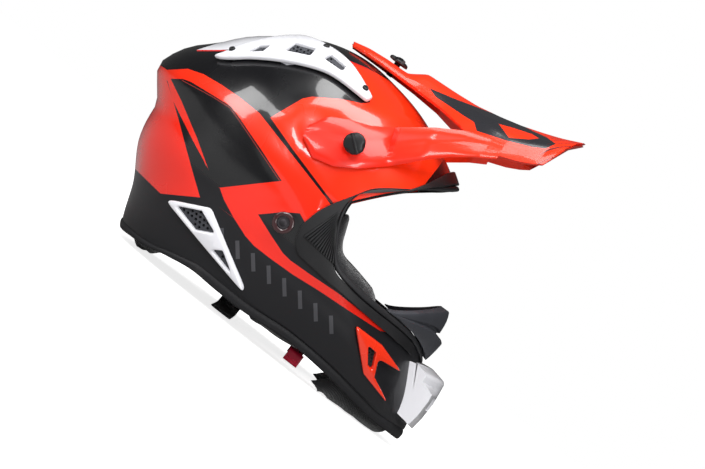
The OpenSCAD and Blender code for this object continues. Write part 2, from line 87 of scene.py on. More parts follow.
def surf(d, o):
    """Points of the shell's outer surface moved out by o, in the directions d."""
    d = np.asarray(d, float)
    o = np.broadcast_to(np.asarray(o, float), d.shape[:-1])
    t = np.mod(np.degrees(np.arctan2(d[..., 2], d[..., 1])), 360)
    h = np.hypot(d[..., 1], d[..., 2])
    n = power_at(t, d[..., 0])
    r = radius(t) + np.where(o < -SHELL_T, 0, lip(t, d[..., 0])) + o
    k = ((np.abs(d[..., 0]) / (HALF_W + o)) ** n + (h / r) ** n) ** (-1 / n)
    return CENTRE + d * k[..., None]


def wide(t, q, dx):
    n = power_at(t, dx)
    return HALF_W * (1 - q ** n) ** (1 / n)


def sx(y, z):
    """Half width of the shell at a point of the side view."""
    y, z = np.asarray(y, float), np.asarray(z, float)
    t = np.mod(np.degrees(np.arctan2(z - C_Z, y - C_Y)), 360)
    r = np.hypot(y - C_Y, z - C_Z)
    q = np.minimum(r / radius(t), 0.985)
    a = wide(t, q, 0.7)
    b = wide(t, q, a / np.hypot(a, r))
    return wide(t, q, b / np.hypot(b, r))


def onto(y, z, s, o):
    """The point of the shell over a point of the side view, on side s, moved out by o."""
    y, z = np.asarray(y, float), np.asarray(z, float)
    return surf(unit(np.stack([s * sx(y, z), y - C_Y, z - C_Z], -1)), o)


def aim(e):
    a, b = np.radians(e[..., 0]), np.radians(e[..., 1])
    return np.stack([np.sin(a) * np.cos(b), -np.cos(a) * np.cos(b), np.sin(b)], -1)


def edge(table, u, turn):
    full = np.vstack([[2 * turn - table[1][0], table[1][1]], table, [-table[-2][0], table[-2][1]]])
    i = np.minimum(np.floor(u), 13).astype(int)
    f = (u - i)[..., None]
    return cr(full[i], full[i + 1], full[i + 2], full[i + 3], f)


def guides(u0):
    w = np.where(np.asarray(u0, float) > 14, np.asarray(u0, float) - 28, np.asarray(u0, float))
    u = np.abs(w)
    a, b = aim(edge(PORT_E, u, 0)), aim(edge(BASE_E, u, 180))
    m = a + b
    m[..., 2] += 1.8 * np.maximum(0, 1 - u / 3.6) ** 1.3
    return w, a, unit(m), b


def heading(u0, v):
    """Direction for a place u along the edges; v runs from the eye port edge, 0, to the base edge, 1."""
    u0, v = np.broadcast_arrays(np.asarray(u0, float), np.asarray(v, float))
    w, a, m, b = guides(u0)
    v = v[..., None]
    d = unit((1 - v) ** 2 * a + 2 * v * (1 - v) * m + v * v * b)
    d[..., 0] *= np.where(w < 0, -1, 1)
    return d


def per_a(u0):
    """How far v runs for one millimetre at the eye port edge."""
    w, a, m, b = guides(np.asarray(u0, float))
    return 1 / (2 * np.linalg.norm(np.cross(a, m), axis=-1) * np.linalg.norm(surf(a, 0) - CENTRE, axis=-1))


def per_b(u0):
    """How far v runs for one millimetre at the base edge."""
    w, a, m, b = guides(np.asarray(u0, float))
    return 1 / (2 * np.linalg.norm(np.cross(b, m), axis=-1) * np.linalg.norm(surf(b, 0) - CENTRE, axis=-1))


def normal_at(y, z, s):
    e = 0.5
    p = onto(y, z, s, 0)
    return unit(np.cross(onto(y + e, z, s, 0) - p, onto(y, z + e, s, 0) - p) * s)


def smooth01(x):
    x = np.clip(x, 0, 1)
    return x * x * (3 - 2 * x)


# ---------------------------------------------------------------- mesh helpers
def edit(me, work):
    """Runs work on the mesh as a bmesh, and puts it back."""
    bm = bmesh.new()
    bm.from_mesh(me)
    work(bm)
    bm.to_mesh(me)
    bm.free()


def recalc(bm):
    bmesh.ops.recalc_face_normals(bm, faces=bm.faces)


def link(name, data):
    o = bpy.data.objects.new(name, data)
    bpy.context.scene.collection.objects.link(o)
    return o


def evaluated_mesh(o):
    return bpy.data.meshes.new_from_object(o.evaluated_get(bpy.context.evaluated_depsgraph_get()))


def get_points(me):
    return np.array([v.co for v in me.vertices])


def set_points(me, pts):
    for v, p in zip(me.vertices, pts):
        v.co = Vector(p)


def add_object(name, verts, faces, smooth=True):
    """A mesh object from points in millimetres, with its faces turned outwards."""
    me = bpy.data.meshes.new(name)
    me.from_pydata([tuple(v) for v in np.asarray(verts, float) * 0.001], [],
                   [tuple(int(i) for i in f) for f in faces])
    me.validate()

    def work(bm):
        bmesh.ops.remove_doubles(bm, verts=bm.verts, dist=2e-6)
        recalc(bm)
    edit(me, work)
    o = link(name, me)
    for p in me.polygons:
        p.use_smooth = smooth
    return o


def sharpen(o, angle):
    """Smooth faces, with sharp edges where two faces meet at more than angle degrees."""
    def work(bm):
        for e in bm.edges:
            e.smooth = not (len(e.link_faces) == 2 and e.calc_face_angle(0) > math.radians(angle))
        for f in bm.faces:
            f.smooth = True
    edit(o.data, work)
    return o


def bake(o, kind, **settings):
    """Adds a modifier and applies it."""
    m = o.modifiers.new(kind, kind)
    for k, v in settings.items():
        setattr(m, k, v)
    bpy.context.view_layer.update()
    me = evaluated_mesh(o)
    o.modifiers.clear()
    old = o.data
    o.data = me
    bpy.data.meshes.remove(old)
    return o


def punch(o, near, far):
    """Cuts a prism, from the loop near to the loop far, out of the object."""
    n = len(near)
    sides = [[i, (i + 1) % n, n + (i + 1) % n, n + i] for i in range(n)]
    c = add_object("cut", near + far, [list(range(n)), list(range(2 * n - 1, n - 1, -1))] + sides,
                   smooth=False)
    bake(o, "BOOLEAN", object=c, operation="DIFFERENCE", solver="EXACT")
    bpy.data.objects.remove(c)


def join(name, objs):
    """One object from several, keeping each one's materials."""
    bpy.context.view_layer.update()
    bm = bmesh.new()
    mats, at = [], 0
    for o in objs:
        m = o.data.copy()
        m.transform(o.matrix_world)
        n0 = len(bm.faces)
        bm.from_mesh(m)
        bm.faces.ensure_lookup_table()
        own = [x.name for x in o.data.materials if x]
        for f in bm.faces[n0:]:
            k = own[min(f.material_index, len(own) - 1)] if own else None
            if k and k not in mats:
                mats.append(k)
            f.material_index = mats.index(k) if k else 0
        bpy.data.meshes.remove(m)
    me = bpy.data.meshes.new(name)
    bm.to_mesh(me)
    bm.free()
    for o in objs:
        bpy.data.objects.remove(o)
    out = link(name, me)
    for k in mats:
        me.materials.append(bpy.data.materials[k])
    return out


def grid_faces(nu, nv, wrap_u=False, wrap_v=False):
    i = np.arange(nu if wrap_u else nu - 1)[:, None]
    j = np.arange(nv if wrap_v else nv - 1)[None, :]
    i1, j1 = (i + 1) % nu, (j + 1) % nv
    return np.stack([i * nv + j, i1 * nv + j, i1 * nv + j1, i * nv + j1], -1).reshape(-1, 4).tolist()


def loft(name, rows, closed_u=False):
    """rows: (nu, nv, 3) points; each row is a closed profile. Open ends are capped."""
    rows = np.asarray(rows, float)
    nu, nv = rows.shape[:2]
    faces = grid_faces(nu, nv, closed_u, True)
    verts = rows.reshape(-1, 3)
    if not closed_u:
        for r in (0, nu - 1):
            c = len(verts)
            verts = np.vstack([verts, rows[r].mean(0)])
            faces += [[c, r * nv + j, r * nv + (j + 1) % nv] for j in range(nv)]
    return add_object(name, verts, faces)


def carried(us, v, o):
    """Points at (v, offset) of each place in us along the edges, kept above the ground."""
    pts = surf(heading(np.repeat(us[:, None], v.shape[1], 1), v), o)
    pts[..., 2] = np.maximum(pts[..., 2], 0)
    return pts


def round_loop(v0, v1, o0, o1, rv, ro, nv):
    """Rounded rectangle in (v, offset), with corner radii rv and ro, and nv steps along its long sides."""
    nc = 4
    pts = []
    corners = [(v1 - rv, o0 + ro, -90), (v1 - rv, o1 - ro, 0), (v0 + rv, o1 - ro, 90),
               (v0 + rv, o0 + ro, 180)]
    for k, (cv, co, a0) in enumerate(corners):
        for i in range(nc + 1):
            a = math.radians(a0 + 90 * i / nc)
            pts.append((cv + rv * math.cos(a), co + ro * math.sin(a)))
        nxt = corners[(k + 1) % 4]
        if k in (1, 3):
            a = pts[-1]
            b0 = math.radians(nxt[2])
            b = (nxt[0] + rv * math.cos(b0), nxt[1] + ro * math.sin(b0))
            pts += [(a[0] + (b[0] - a[0]) * i / nv, a[1] + (b[1] - a[1]) * i / nv) for i in range(1, nv)]
    return pts


def catmull(points, n, closed=True):
    """A smooth line through the points, n pieces to each stretch."""
    p = np.asarray(points, float)
    out = []
    m = len(p)
    for i in range(m if closed else m - 1):
        if closed:
            a, b, c, d = p[(i - 1) % m], p[i], p[(i + 1) % m], p[(i + 2) % m]
        else:
            a, b, c, d = p[max(i - 1, 0)], p[i], p[i + 1], p[min(i + 2, m - 1)]
        for k in range(n):
            out.append(cr(a, b, c, d, k / n))
    if not closed:
        out.append(p[-1])
    return np.array(out)


def fillet(points, r, n=5):
    """A polygon with its corners rounded; r is one radius or one for each corner."""
    p = np.asarray(points, float)
    m = len(p)
    rs = [r] * m if np.isscalar(r) else r
    out = []
    for i in range(m):
        a, b, c = p[i - 1], p[i], p[(i + 1) % m]
        u, v = unit(a - b), unit(c - b)
        ang = math.acos(float(np.clip(u @ v, -1, 1)))
        cut = min(rs[i] / math.tan(ang / 2), 0.45 * min(np.linalg.norm(a - b), np.linalg.norm(c - b)))
        s, e = b + u * cut, b + v * cut
        for k in range(n + 1):
            t = k / n
            out.append((1 - t) ** 2 * s + 2 * t * (1 - t) * b + t * t * e)
    return np.array(out)


def inside(poly, pts):
    """Which points lie in the polygon."""
    poly, pts = np.asarray(poly, float), np.asarray(pts, float)
    x, y = pts[:, 0], pts[:, 1]
    res = np.zeros(len(pts), bool)
    for (x0, y0), (x1, y1) in zip(poly, np.roll(poly, -1, 0)):
        hit = (y0 > y) != (y1 > y)
        with np.errstate(divide="ignore", invalid="ignore"):
            xi = (x1 - x0) * (y - y0) / (y1 - y0) + x0
        res ^= hit & (x < xi)
    return res


def plate(name, outline, holes, s, o0, o1, bevel, grid=3.5, crown=0.0):
    """A rounded plate with real openings, cut as a flat sheet over the side view, then laid on the shell.
    outline and holes are (y, z) polygons; it runs from offset o0 to o1, with edges rounded by bevel."""
    cu = bpy.data.curves.new(name + "_c", "CURVE")
    cu.dimensions = "2D"
    cu.fill_mode = "BOTH"
    for loop in [outline] + list(holes):
        sp = cu.splines.new("POLY")
        sp.points.add(len(loop) - 1)
        for q, (y, z) in zip(sp.points, loop):
            q.co = (y, z, 0, 1)
        sp.use_cyclic_u = True
    half = (o1 - o0) / 2
    cu.extrude = half - bevel
    cu.bevel_depth = bevel
    cu.bevel_resolution = 3
    cu.offset = -bevel
    flat = link(name + "_t", cu)
    bpy.context.view_layer.update()
    me = evaluated_mesh(flat)
    bpy.data.objects.remove(flat)

    def work(bm):
        bmesh.ops.remove_doubles(bm, verts=bm.verts, dist=1e-3)
        lo, hi = np.min(outline, 0), np.max(outline, 0)
        for ax in (0, 1):
            for c in np.arange(lo[ax] + grid / 2, hi[ax], grid):
                co, no = [0, 0, 0], [0, 0, 0]
                co[ax], no[ax] = c, 1
                bmesh.ops.bisect_plane(bm, geom=bm.verts[:] + bm.edges[:] + bm.faces[:], dist=1e-4,
                                       plane_co=co,
                                       plane_no=no)
        recalc(bm)
        co = np.array([v.co for v in bm.verts])
        t = (co[:, 2] + half) / (2 * half)
        off = o0 + (o1 - o0) * t
        if crown:
            off = off + crown * t * np.minimum(edge_distance(outline, co[:, :2]) / 8.0, 1.0) ** 0.6
        for v, p in zip(bm.verts, onto(co[:, 0], co[:, 1], s, off)):
            v.co = Vector(p) * 0.001
    edit(me, work)
    o = link(name, me)
    edit(o.data, recalc)
    return sharpen(o, 32)


def edge_distance(poly, pts):
    poly, pts = np.asarray(poly, float), np.asarray(pts, float)
    best = np.full(len(pts), 1e9)
    for a, b in zip(poly, np.roll(poly, -1, 0)):
        d = b - a
        t = np.clip(((pts - a) @ d) / max(d @ d, 1e-9), 0, 1)
        best = np.minimum(best, np.linalg.norm(pts - (a + t[:, None] * d), axis=1))
    return best


def lathe(name, prof, n, matrix=None, wobble=lambda a, r, h: 1):
    """prof: (radius, height) points from the axis round to the axis. wobble(angle, radius, height) scales
    the radius."""
    rows = []
    for a in (2 * math.pi * k / n for k in range(n)):
        rows.append([(r * wobble(a, r, h) * math.cos(a), r * wobble(a, r, h) * math.sin(a), h) for r,
                     h in prof])
    o = add_object(name, np.array(rows).reshape(-1, 3), grid_faces(n, len(prof), True, False))
    if matrix is not None:
        o.data.transform(matrix)
    return o


def squarish(a, power):
    """The cosine and sine of a, drawn towards the corners of a square."""
    c, s = math.cos(a), math.sin(a)
    return math.copysign(abs(c) ** power, c), math.copysign(abs(s) ** power, s)


def tube(name, path, r, n=12, flat=None, closed=False, up=(0.0, 1.0, 0.0)):
    """A tube, or a flat band where flat = (half width, half thickness), swept along the path."""
    p = np.asarray(path, float)
    if closed:
        t = unit(np.roll(p, -1, 0) - np.roll(p, 1, 0))
    else:
        t = unit(np.vstack([p[1] - p[0], p[2:] - p[:-2], p[-1] - p[-2]]))
    up = np.array(up)
    wide_r, thick_r, power = (*flat, 2 / 5) if flat else (r, r, 1)
    rows = []
    for i in range(len(p)):
        a = up - (up @ t[i]) * t[i]
        a = a / np.linalg.norm(a)
        b = np.cross(t[i], a)
        ring = []
        for k in range(n):
            c, s = squarish(2 * math.pi * (k + 0.5) / n, power)
            ring.append(p[i] + a * c * wide_r + b * s * thick_r)
        rows.append(ring)
    return loft(name, rows, closed)


# ---------------------------------------------------------------- materials
class Nodes:
    """Short ways to build a node tree; every value is a socket or a number."""

    def __init__(self, name):
        self.mat = bpy.data.materials.get(name) or bpy.data.materials.new(name)
        self.mat.use_nodes = True
        self.t = self.mat.node_tree
        self.t.nodes.clear()
        self.out = self.t.nodes.new("ShaderNodeOutputMaterial")
        self.b = self.t.nodes.new("ShaderNodeBsdfPrincipled")
        self.t.links.new(self.b.outputs[0], self.out.inputs["Surface"])
        self.obj = self.t.nodes.new("ShaderNodeTexCoord").outputs["Object"]
        sp = self.t.nodes.new("ShaderNodeSeparateXYZ")
        self.t.links.new(self.obj, sp.inputs[0])
        self.x, self.y, self.z = sp.outputs

    def put(self, node, key, v):
        s = node.inputs[key]
        if isinstance(v, bpy.types.NodeSocket):
            self.t.links.new(v, s)
        elif hasattr(s.default_value, "__len__") and len(s.default_value) == 4 and len(v) == 3:
            s.default_value = (*v, 1)
        else:
            s.default_value = v

    def set(self, **kw):
        for k, v in kw.items():
            self.put(self.b, k.replace("_", " "), v)
        return self

    def math(self, op, a, b=0.0, c=0.0, clamp=False):
        n = self.t.nodes.new("ShaderNodeMath")
        n.operation = op
        n.use_clamp = clamp
        for i, v in enumerate((a, b, c)):
            self.put(n, i, v)
        return n.outputs[0]

    def add(self, a, b):
        return self.math("ADD", a, b)

    def mul(self, a, b):
        return self.math("MULTIPLY", a, b)

    def vec(self, a, b, c):
        n = self.t.nodes.new("ShaderNodeCombineXYZ")
        for i, v in enumerate((a, b, c)):
            self.put(n, i, v)
        return n.outputs[0]

    def dot(self, v, w, k=0.0):
        n = self.t.nodes.new("ShaderNodeVectorMath")
        n.operation = "DOT_PRODUCT"
        self.put(n, 0, v)
        self.put(n, 1, w)
        return self.math("ADD", n.outputs["Value"], k) if k else n.outputs["Value"]

    def noise(self, scale, detail=2.0, rough=0.5, v=None):
        n = self.t.nodes.new("ShaderNodeTexNoise")
        self.put(n, "Vector", v or self.obj)
        self.put(n, "Scale", scale)
        self.put(n, "Detail", detail)
        self.put(n, "Roughness", rough)
        return n.outputs["Fac"]

    def cells(self, scale):
        n = self.t.nodes.new("ShaderNodeTexVoronoi")
        self.put(n, "Vector", self.obj)
        self.put(n, "Scale", scale)
        return n.outputs["Distance"]

    def ramp(self, f, a, b, lo=0.0, hi=1.0):
        n = self.t.nodes.new("ShaderNodeMapRange")
        n.interpolation_type = "SMOOTHSTEP"
        for k, v in (("Value", f), ("From Min", a), ("From Max", b), ("To Min", lo), ("To Max", hi)):
            self.put(n, k, v)
        return n.outputs[0]

    def mix(self, f, a, b):
        n = self.t.nodes.new("ShaderNodeMix")
        n.data_type = "RGBA"
        self.put(n, 0, f)
        self.put(n, 6, a)
        self.put(n, 7, b)
        return n.outputs[2]

    def mixf(self, f, a, b):
        n = self.t.nodes.new("ShaderNodeMix")
        self.put(n, 0, f)
        self.put(n, 2, a)
        self.put(n, 3, b)
        return n.outputs[0]

    def bump(self, h, dist, strength):
        n = self.t.nodes.new("ShaderNodeBump")
        self.put(n, "Strength", strength)
        self.put(n, "Distance", dist)
        self.put(n, "Height", h)
        return n.outputs[0]

    def edges(self, lo=0.02, hi=0.16):
        """1 on convex edges of the mesh, from its pointiness."""
        p = self.t.nodes.new("ShaderNodeNewGeometry").outputs["Pointiness"]
        return self.ramp(p, 0.5 + lo, 0.5 + hi)


def half_planes(n, p2, poly, soft, lift=0.5):
    """1 inside a convex polygon of (y, z) in millimetres, with a soft edge."""
    poly = np.asarray(poly, float)
    if np.cross(poly[1] - poly[0], poly[2] - poly[1]) < 0:
        poly = poly[::-1]
    m = None
    for a, b in zip(poly, np.roll(poly, -1, 0)):
        d = b - a
        if np.linalg.norm(d) < 1e-6:
            continue
        nn = np.array([-d[1], d[0]]) / np.linalg.norm(d)
        s = n.dot(p2, (float(nn[0]) * 1000, float(nn[1]) * 1000, 0), float(-nn @ a))
        m = s if m is None else n.math("MINIMUM", m, s)
    return n.math("MULTIPLY_ADD", m, 1 / soft, lift, clamp=True)


def cut_convex(poly):
    """Splits a simple polygon into convex ones, by triangles joined where the result stays convex."""
    poly = [tuple(map(float, p)) for p in poly]
    tris = [list(t) for t in tessellate_polygon([[Vector((a, b, 0)) for a, b in poly]])]
    P = np.array(poly)

    def order(ids):
        c = P[ids].mean(0)
        return sorted(ids, key=lambda i: math.atan2(P[i][1] - c[1], P[i][0] - c[0]))

    def convex(ids):
        q = P[ids]
        e = np.roll(q, -1, 0) - q
        return bool((np.cross(e, np.roll(e, -1, 0)) >= -1e-6).all())
    parts = [order(t) for t in tris]
    merged = True
    while merged:
        merged = False
        for i in range(len(parts)):
            for j in range(i + 1, len(parts)):
                if len(set(parts[i]) & set(parts[j])) >= 2:
                    u = order(sorted(set(parts[i]) | set(parts[j])))
                    extra = poly_area(P[u]) - poly_area(P[parts[i]]) - poly_area(P[parts[j]])
                    if convex(u) and abs(extra) < 1e-3:
                        parts[i] = u
                        del parts[j]
                        merged = True
                        break
            if merged:
                break
    return [P[p] for p in parts]


def poly_area(q):
    q = np.asarray(q)
    return abs(np.cross(q, np.roll(q, -1, 0)).sum()) / 2


def region(n, p2, poly, soft=0.25):
    """1 inside any simple polygon; its convex parts reach a little past each other, so no seam shows."""
    return either(n, *[half_planes(n, p2, c, soft, 1.02) for c in cut_convex(poly)])


def either(n, *ms):
    m = ms[0]
    for k in ms[1:]:
        m = n.math("MAXIMUM", m, k)
    return m


def both(n, a, b):
    return n.math("MINIMUM", a, b)


def neg(n, a):
    return n.math("SUBTRACT", 1.0, a)


def line(n, p2, a, b, w, soft=0.2):
    """1 within w / 2 of the stretch from a to b."""
    a, b = np.array(a, float), np.array(b, float)
    d = (b - a) / np.linalg.norm(b - a)
    nn = np.array([-d[1], d[0]]) * w / 2
    return half_planes(n, p2, [a - nn, b - nn, b + nn, a + nn], soft)


RED = (1.0, 0.036, 0.006)
# The next red is the same paint a little darker: painted shade for the lower parts of the shell and peak.
SHADED_RED = (0.90, 0.018, 0.006)
DEEP = (0.80, 0.006, 0.004)
BLACK = (0.005, 0.005, 0.006)
CHIN = (0.011, 0.011, 0.013)
WHITE = (0.86, 0.86, 0.90)


def coat(n, rough):
    """Clear-coated paint, with a faint orange peel."""
    n.set(Roughness=n.ramp(n.noise(22, 3, 0.6), 0.3, 0.75, rough, rough + 0.1), Coat_Weight=0.9,
          Coat_Roughness=n.ramp(n.noise(40, 2), 0.3, 0.7, 0.03, 0.07), Coat_IOR=1.5)
    n.set(Coat_Normal=n.bump(n.noise(320, 3, 0.55), 0.00003, 0.5))


def soft_plastic(name, colour, rough, grain, depth=0.00004):
    n = Nodes(name)
    g = n.noise(grain, 3, 0.6)
    patch = n.noise(16, 4, 0.6)
    c2 = tuple(min(1, v * 1.5 + 0.012) for v in colour)
    base = n.mix(n.ramp(patch, 0.35, 0.75, 0, 0.45), colour, c2)
    e = n.edges()
    light = tuple(min(1, v * 1.8 + 0.05) for v in colour)
    dull = n.ramp(n.add(patch, n.mul(g, 0.3)), 0.4, 0.95, rough - 0.06, rough + 0.1)
    n.set(Base_Color=n.mix(n.mul(e, 0.35), base, light), Roughness=n.math("SUBTRACT", dull, n.mul(e, 0.08)),
          Specular_IOR_Level=0.4, Normal=n.bump(g, depth, 0.6))
    return n.mat


def gloss_plastic(name, colour, rough):
    n = Nodes(name)
    base = n.mix(n.ramp(n.noise(12, 4), 0.35, 0.8, 0, 0.25), colour, tuple(v * 0.82 for v in colour))
    # Painted shade: concave hollows of the mesh are drawn a quarter of the way to a darker copy of the colour.
    out_of_hollows = n.edges(-0.14, -0.03)
    n.set(Base_Color=n.mix(n.mul(neg(n, out_of_hollows), 0.25), base, tuple(v * 0.55 for v in colour)))
    coat(n, rough)
    return n.mat


def foam(name, colour):
    """Moulded bead foam."""
    n = Nodes(name)
    c = n.cells(330)
    n.set(Base_Color=n.mix(n.ramp(c, 0.1, 0.7), tuple(v * 1.5 for v in colour),
                           tuple(v * 0.5 for v in colour)),
          Roughness=n.ramp(c, 0, 0.8, 0.55, 0.85), Normal=n.bump(neg(n, c), 0.0006, 0.7))
    return n.mat


def fabric(name, colour, pitch, depth=0.00035):
    """Woven or knitted cloth: threads over and under along two slanted directions in space."""
    n = Nodes(name)
    k = 2 * math.pi / (pitch * 0.001)
    wob = n.mul(n.noise(60, 2), 0.0012)
    u = n.add(n.add(n.mul(n.y, 0.77), n.mul(n.z, 0.64)), wob)
    v = n.add(n.add(n.mul(n.y, -0.64), n.mul(n.z, 0.77)), n.mul(n.x, 0.85))
    v = n.add(v, wob)
    a = n.math("SINE", n.mul(u, k))
    b = n.math("SINE", n.mul(v, k))
    h = n.math("ABSOLUTE", n.mul(n.add(a, b), 0.5))
    knit = n.ramp(h, 0.05, 0.75)
    fuzz = n.noise(2600, 3, 0.7)
    h2 = n.add(n.mul(knit, 0.8), n.mul(fuzz, 0.35))
    dark = tuple(c * 0.35 for c in colour)
    base = n.mix(n.ramp(n.noise(28, 4), 0.35, 0.75), colour, tuple(min(1, c * 1.35) for c in colour))
    n.set(Base_Color=n.mix(n.ramp(knit, 0.0, 0.6), dark, base), Roughness=n.ramp(fuzz, 0.2, 0.8, 0.75, 0.95),
          Sheen_Weight=0.6, Sheen_Roughness=0.5, Specular_IOR_Level=0.25, Normal=n.bump(h2, depth, 0.8))
    return n.mat


def webbing(name, colour):
    """Narrow woven strap: ribs along it, small diagonal over-and-under across it."""
    n = Nodes(name)
    ribs = n.math("SINE", n.mul(n.y, 2 * math.pi / 0.0016))
    run = n.add(n.z, n.mul(n.x, 0.8))
    pick = n.math("SINE", n.add(n.mul(run, 2 * math.pi / 0.0022), n.mul(ribs, 1.2)))
    h = n.add(n.mul(n.math("ABSOLUTE", ribs), 0.6), n.mul(pick, 0.3))
    fuzz = n.noise(2200, 3, 0.7)
    n.set(Base_Color=n.mix(n.ramp(h, -0.1, 0.8), tuple(v * 0.4 for v in colour),
                           tuple(v * 2.4 for v in colour)),
          Roughness=n.ramp(fuzz, 0.2, 0.8, 0.6, 0.85), Sheen_Weight=0.35,
          Normal=n.bump(n.add(h, n.mul(fuzz, 0.25)), 0.0004, 0.8))
    return n.mat


def metal(name, colour, rough):
    n = Nodes(name)
    streak = n.noise(900, 2, v=n.vec(n.mul(n.x, 0.15), n.y, n.z))
    n.set(Base_Color=n.mix(n.ramp(n.noise(120, 4), 0.3, 0.8), colour, tuple(v * 0.7 for v in colour)),
          Metallic=1.0,
          Roughness=n.ramp(streak, 0.25, 0.8, rough, rough + 0.2), Normal=n.bump(streak, 0.00003, 0.5))
    return n.mat


def rubber(name, colour, rough):
    n = Nodes(name)
    g = n.noise(900, 4, 0.65)
    dust = n.ramp(n.noise(30, 5, 0.65), 0.5, 0.8, 0, 0.25)
    n.set(Base_Color=n.mix(dust, colour, (0.09, 0.088, 0.085)),
          Roughness=n.ramp(g, 0.3, 0.8, rough - 0.08, rough + 0.12),
          Specular_IOR_Level=0.3, Normal=n.bump(g, 0.00006, 0.6))
    return n.mat


# ---------------------------------------------------------------- paint and livery
# The livery's outlines are (y, z) points of the side view drawn in perspective from 2.6 m, in millimetres.
# A place on the shell takes its colour from where it falls in that drawing, on either side.
EYE_MM = (2600.0, -38.0, 121.0)
EYE_D, EYE_Y, EYE_Z = 2.6, -0.038, 0.121
BAND = [(195, 133), (180.2, 133.4), (172.2, 134.1), (158.9, 145.7), (145.3, 150.3), (128.1, 152.6),
        (110.1, 153.7),
        (87.5, 153.4), (2.2, 132.3), (-20, 126), (-10, 100), (37.2, 119.9), (67.6, 130.2), (97.4, 139.6),
        (110.4, 143.2), (128, 141.4), (150.1, 138.8), (156.9, 136.6), (165.6, 130.1), (195, 126)]
SPLINTER = [(181, 134), (165.6, 130.1), (146.1, 120.5), (115.3, 103.2), (94.5, 90.2), (100.2, 92.7),
            (118.5, 100.7),
            (137.7, 109.8), (152.8, 117), (166, 127), (186, 131)]
REAR = [(200, 134), (178, 133), (166, 126), (152.8, 117), (139, 107.1), (117.8, 90.9), (97.4, 75.9),
        (83.7, 66),
        (112, 48), (149, 52), (200, 60)]
ZIGZAG = [(37.2, 119.9), (75.3, 82.8), (66, 77), (50, 70), (33, 64), (22, 62), (5, 62), (-19, 63), (-46, 66),
          (-73, 68), (-106, 71), (-114, 74), (-103, 75), (-83, 74), (-59, 74), (-31, 72), (-10, 71), (-1, 72),
          (17, 78), (36, 85), (20, 100), (-10, 120)]
FIELD = [(77.9, 156.5), (72.2, 171.3), (66.4, 185.8), (61, 192.1), (40.5, 205.6), (24.4, 213.5), (19, 219),
         (30, 226), (62, 229), (82, 227), (96, 222), (106, 212), (112, 218), (103, 226.1), (86, 228.5),
         (62.2, 233.3),
         (38.2, 240), (21.5, 242.8), (6.6, 243.2), (-15, 240), (-60, 232), (-60, 120), (0.5, 134.5),
         (13.5, 138),
         (46.3, 146.9)]
CROWN = [(162.5, 163.5), (156.1, 172.9), (146.4, 187), (133.1, 200.8), (119, 213.5), (108.2, 221.7),
         (90, 223),
         (70, 222), (95, 200), (124.6, 194.2), (135.5, 186.2), (143.5, 178.9), (150, 173)]
PINS = [((162.5, 162.8), (143.5, 177.6)), ((143.5, 177.6), (124.6, 192.8)), ((103, 226.1), (86, 228.5)),
        ((86, 228.5), (62.2, 233.3)), ((62.2, 233.3), (38.2, 240))]
EDGE_PINS = [((37.2, 118.6), (74.2, 82.6)), ((165, 128.6), (96, 90.4)), ((157, 135), (128, 139.9)),
             ((128, 139.9), (110.4, 141.7)), ((110.4, 141.7), (97.6, 138)), ((97.6, 138), (37.6, 118.4))]
SLANT = [((70 - 17 * k, 57 - 0.2 * k), (60 - 17 * k, 45 - 0.2 * k)) for k in range(9)]


def side_view(n):
    """Where a place falls in the side view: (y, z, 0), in metres."""
    s = n.math("DIVIDE", EYE_D, n.math("SUBTRACT", EYE_D, n.math("ABSOLUTE", n.x)))
    y = n.add(n.mul(n.math("SUBTRACT", n.y, EYE_Y), s), EYE_Y)
    z = n.add(n.mul(n.math("SUBTRACT", n.z, EYE_Z), s), EYE_Z)
    return n.vec(y, z, 0.0)


def worn_edges(n):
    return n.mul(n.edges(0.05, 0.2), n.ramp(n.noise(150, 4, 0.7), 0.45, 0.7))


def shell_paint():
    n = Nodes("shell_paint")
    p = side_view(n)
    red = either(n, region(n, p, BAND), region(n, p, SPLINTER), region(n, p, REAR), region(n, p, ZIGZAG),
                 region(n, p, FIELD, 0.35))
    dark = both(n, n.ramp(n.z, 0.088, 0.082), neg(n, red))
    white = both(n, region(n, p, CROWN), neg(n, region(n, p, FIELD, 0.3)))
    pins = either(n, *[line(n, p, a, b, 1.1) for a, b in PINS])
    tick = either(n, *[line(n, p, a, b, 3.4) for a, b in SLANT])
    edge_pin = either(n, *[line(n, p, a, b, 0.5, 0.25) for a, b in EDGE_PINS])
    # Painted shade: the red areas turn darker towards the bottom of the helmet.
    c = n.mix(red, BLACK, n.mix(n.ramp(n.z, 0.07, 0.2), SHADED_RED, RED))
    c = n.mix(dark, c, CHIN)
    c = n.mix(white, c, WHITE)
    c = n.mix(n.mul(pins, 0.9), c, DEEP)
    c = n.mix(n.mul(both(n, tick, dark), 0.6), c, (0.10, 0.10, 0.11))
    c = n.mix(n.mul(both(n, edge_pin, neg(n, red)), 0.8), c, (0.45, 0.05, 0.04))
    n.set(Base_Color=n.mix(n.mul(worn_edges(n), 0.35), c, (0.30, 0.29, 0.28)))
    coat(n, 0.24)
    n.set(Coat_Weight=n.mixf(dark, 0.8, 0.2),
          Roughness=n.mixf(dark, n.ramp(n.noise(22, 3), 0.3, 0.75, 0.2, 0.3), 0.42),
          Specular_IOR_Level=n.mixf(dark, 0.35, 0.25))
    return n.mat


PEAK_PANEL = [(-13.1, 259.2), (-38.7, 266.3), (-58.2, 272.4), (-75.4, 277.6), (-90, 282.2), (-104.8, 284.6),
              (-117.5, 287.7), (-126.5, 287.9), (-122.3, 279.7), (-111.9, 273.5), (-91.7, 264.5),
              (-66.9, 255.5),
              (-60.6, 260), (-50.5, 258.9), (-21.8, 256.9)]
PEAK_FLASH = [(-78.5, 271.7), (-91.1, 276.9), (-105.3, 282), (-112.2, 282.8), (-106.1, 277), (-92.1, 267.9)]


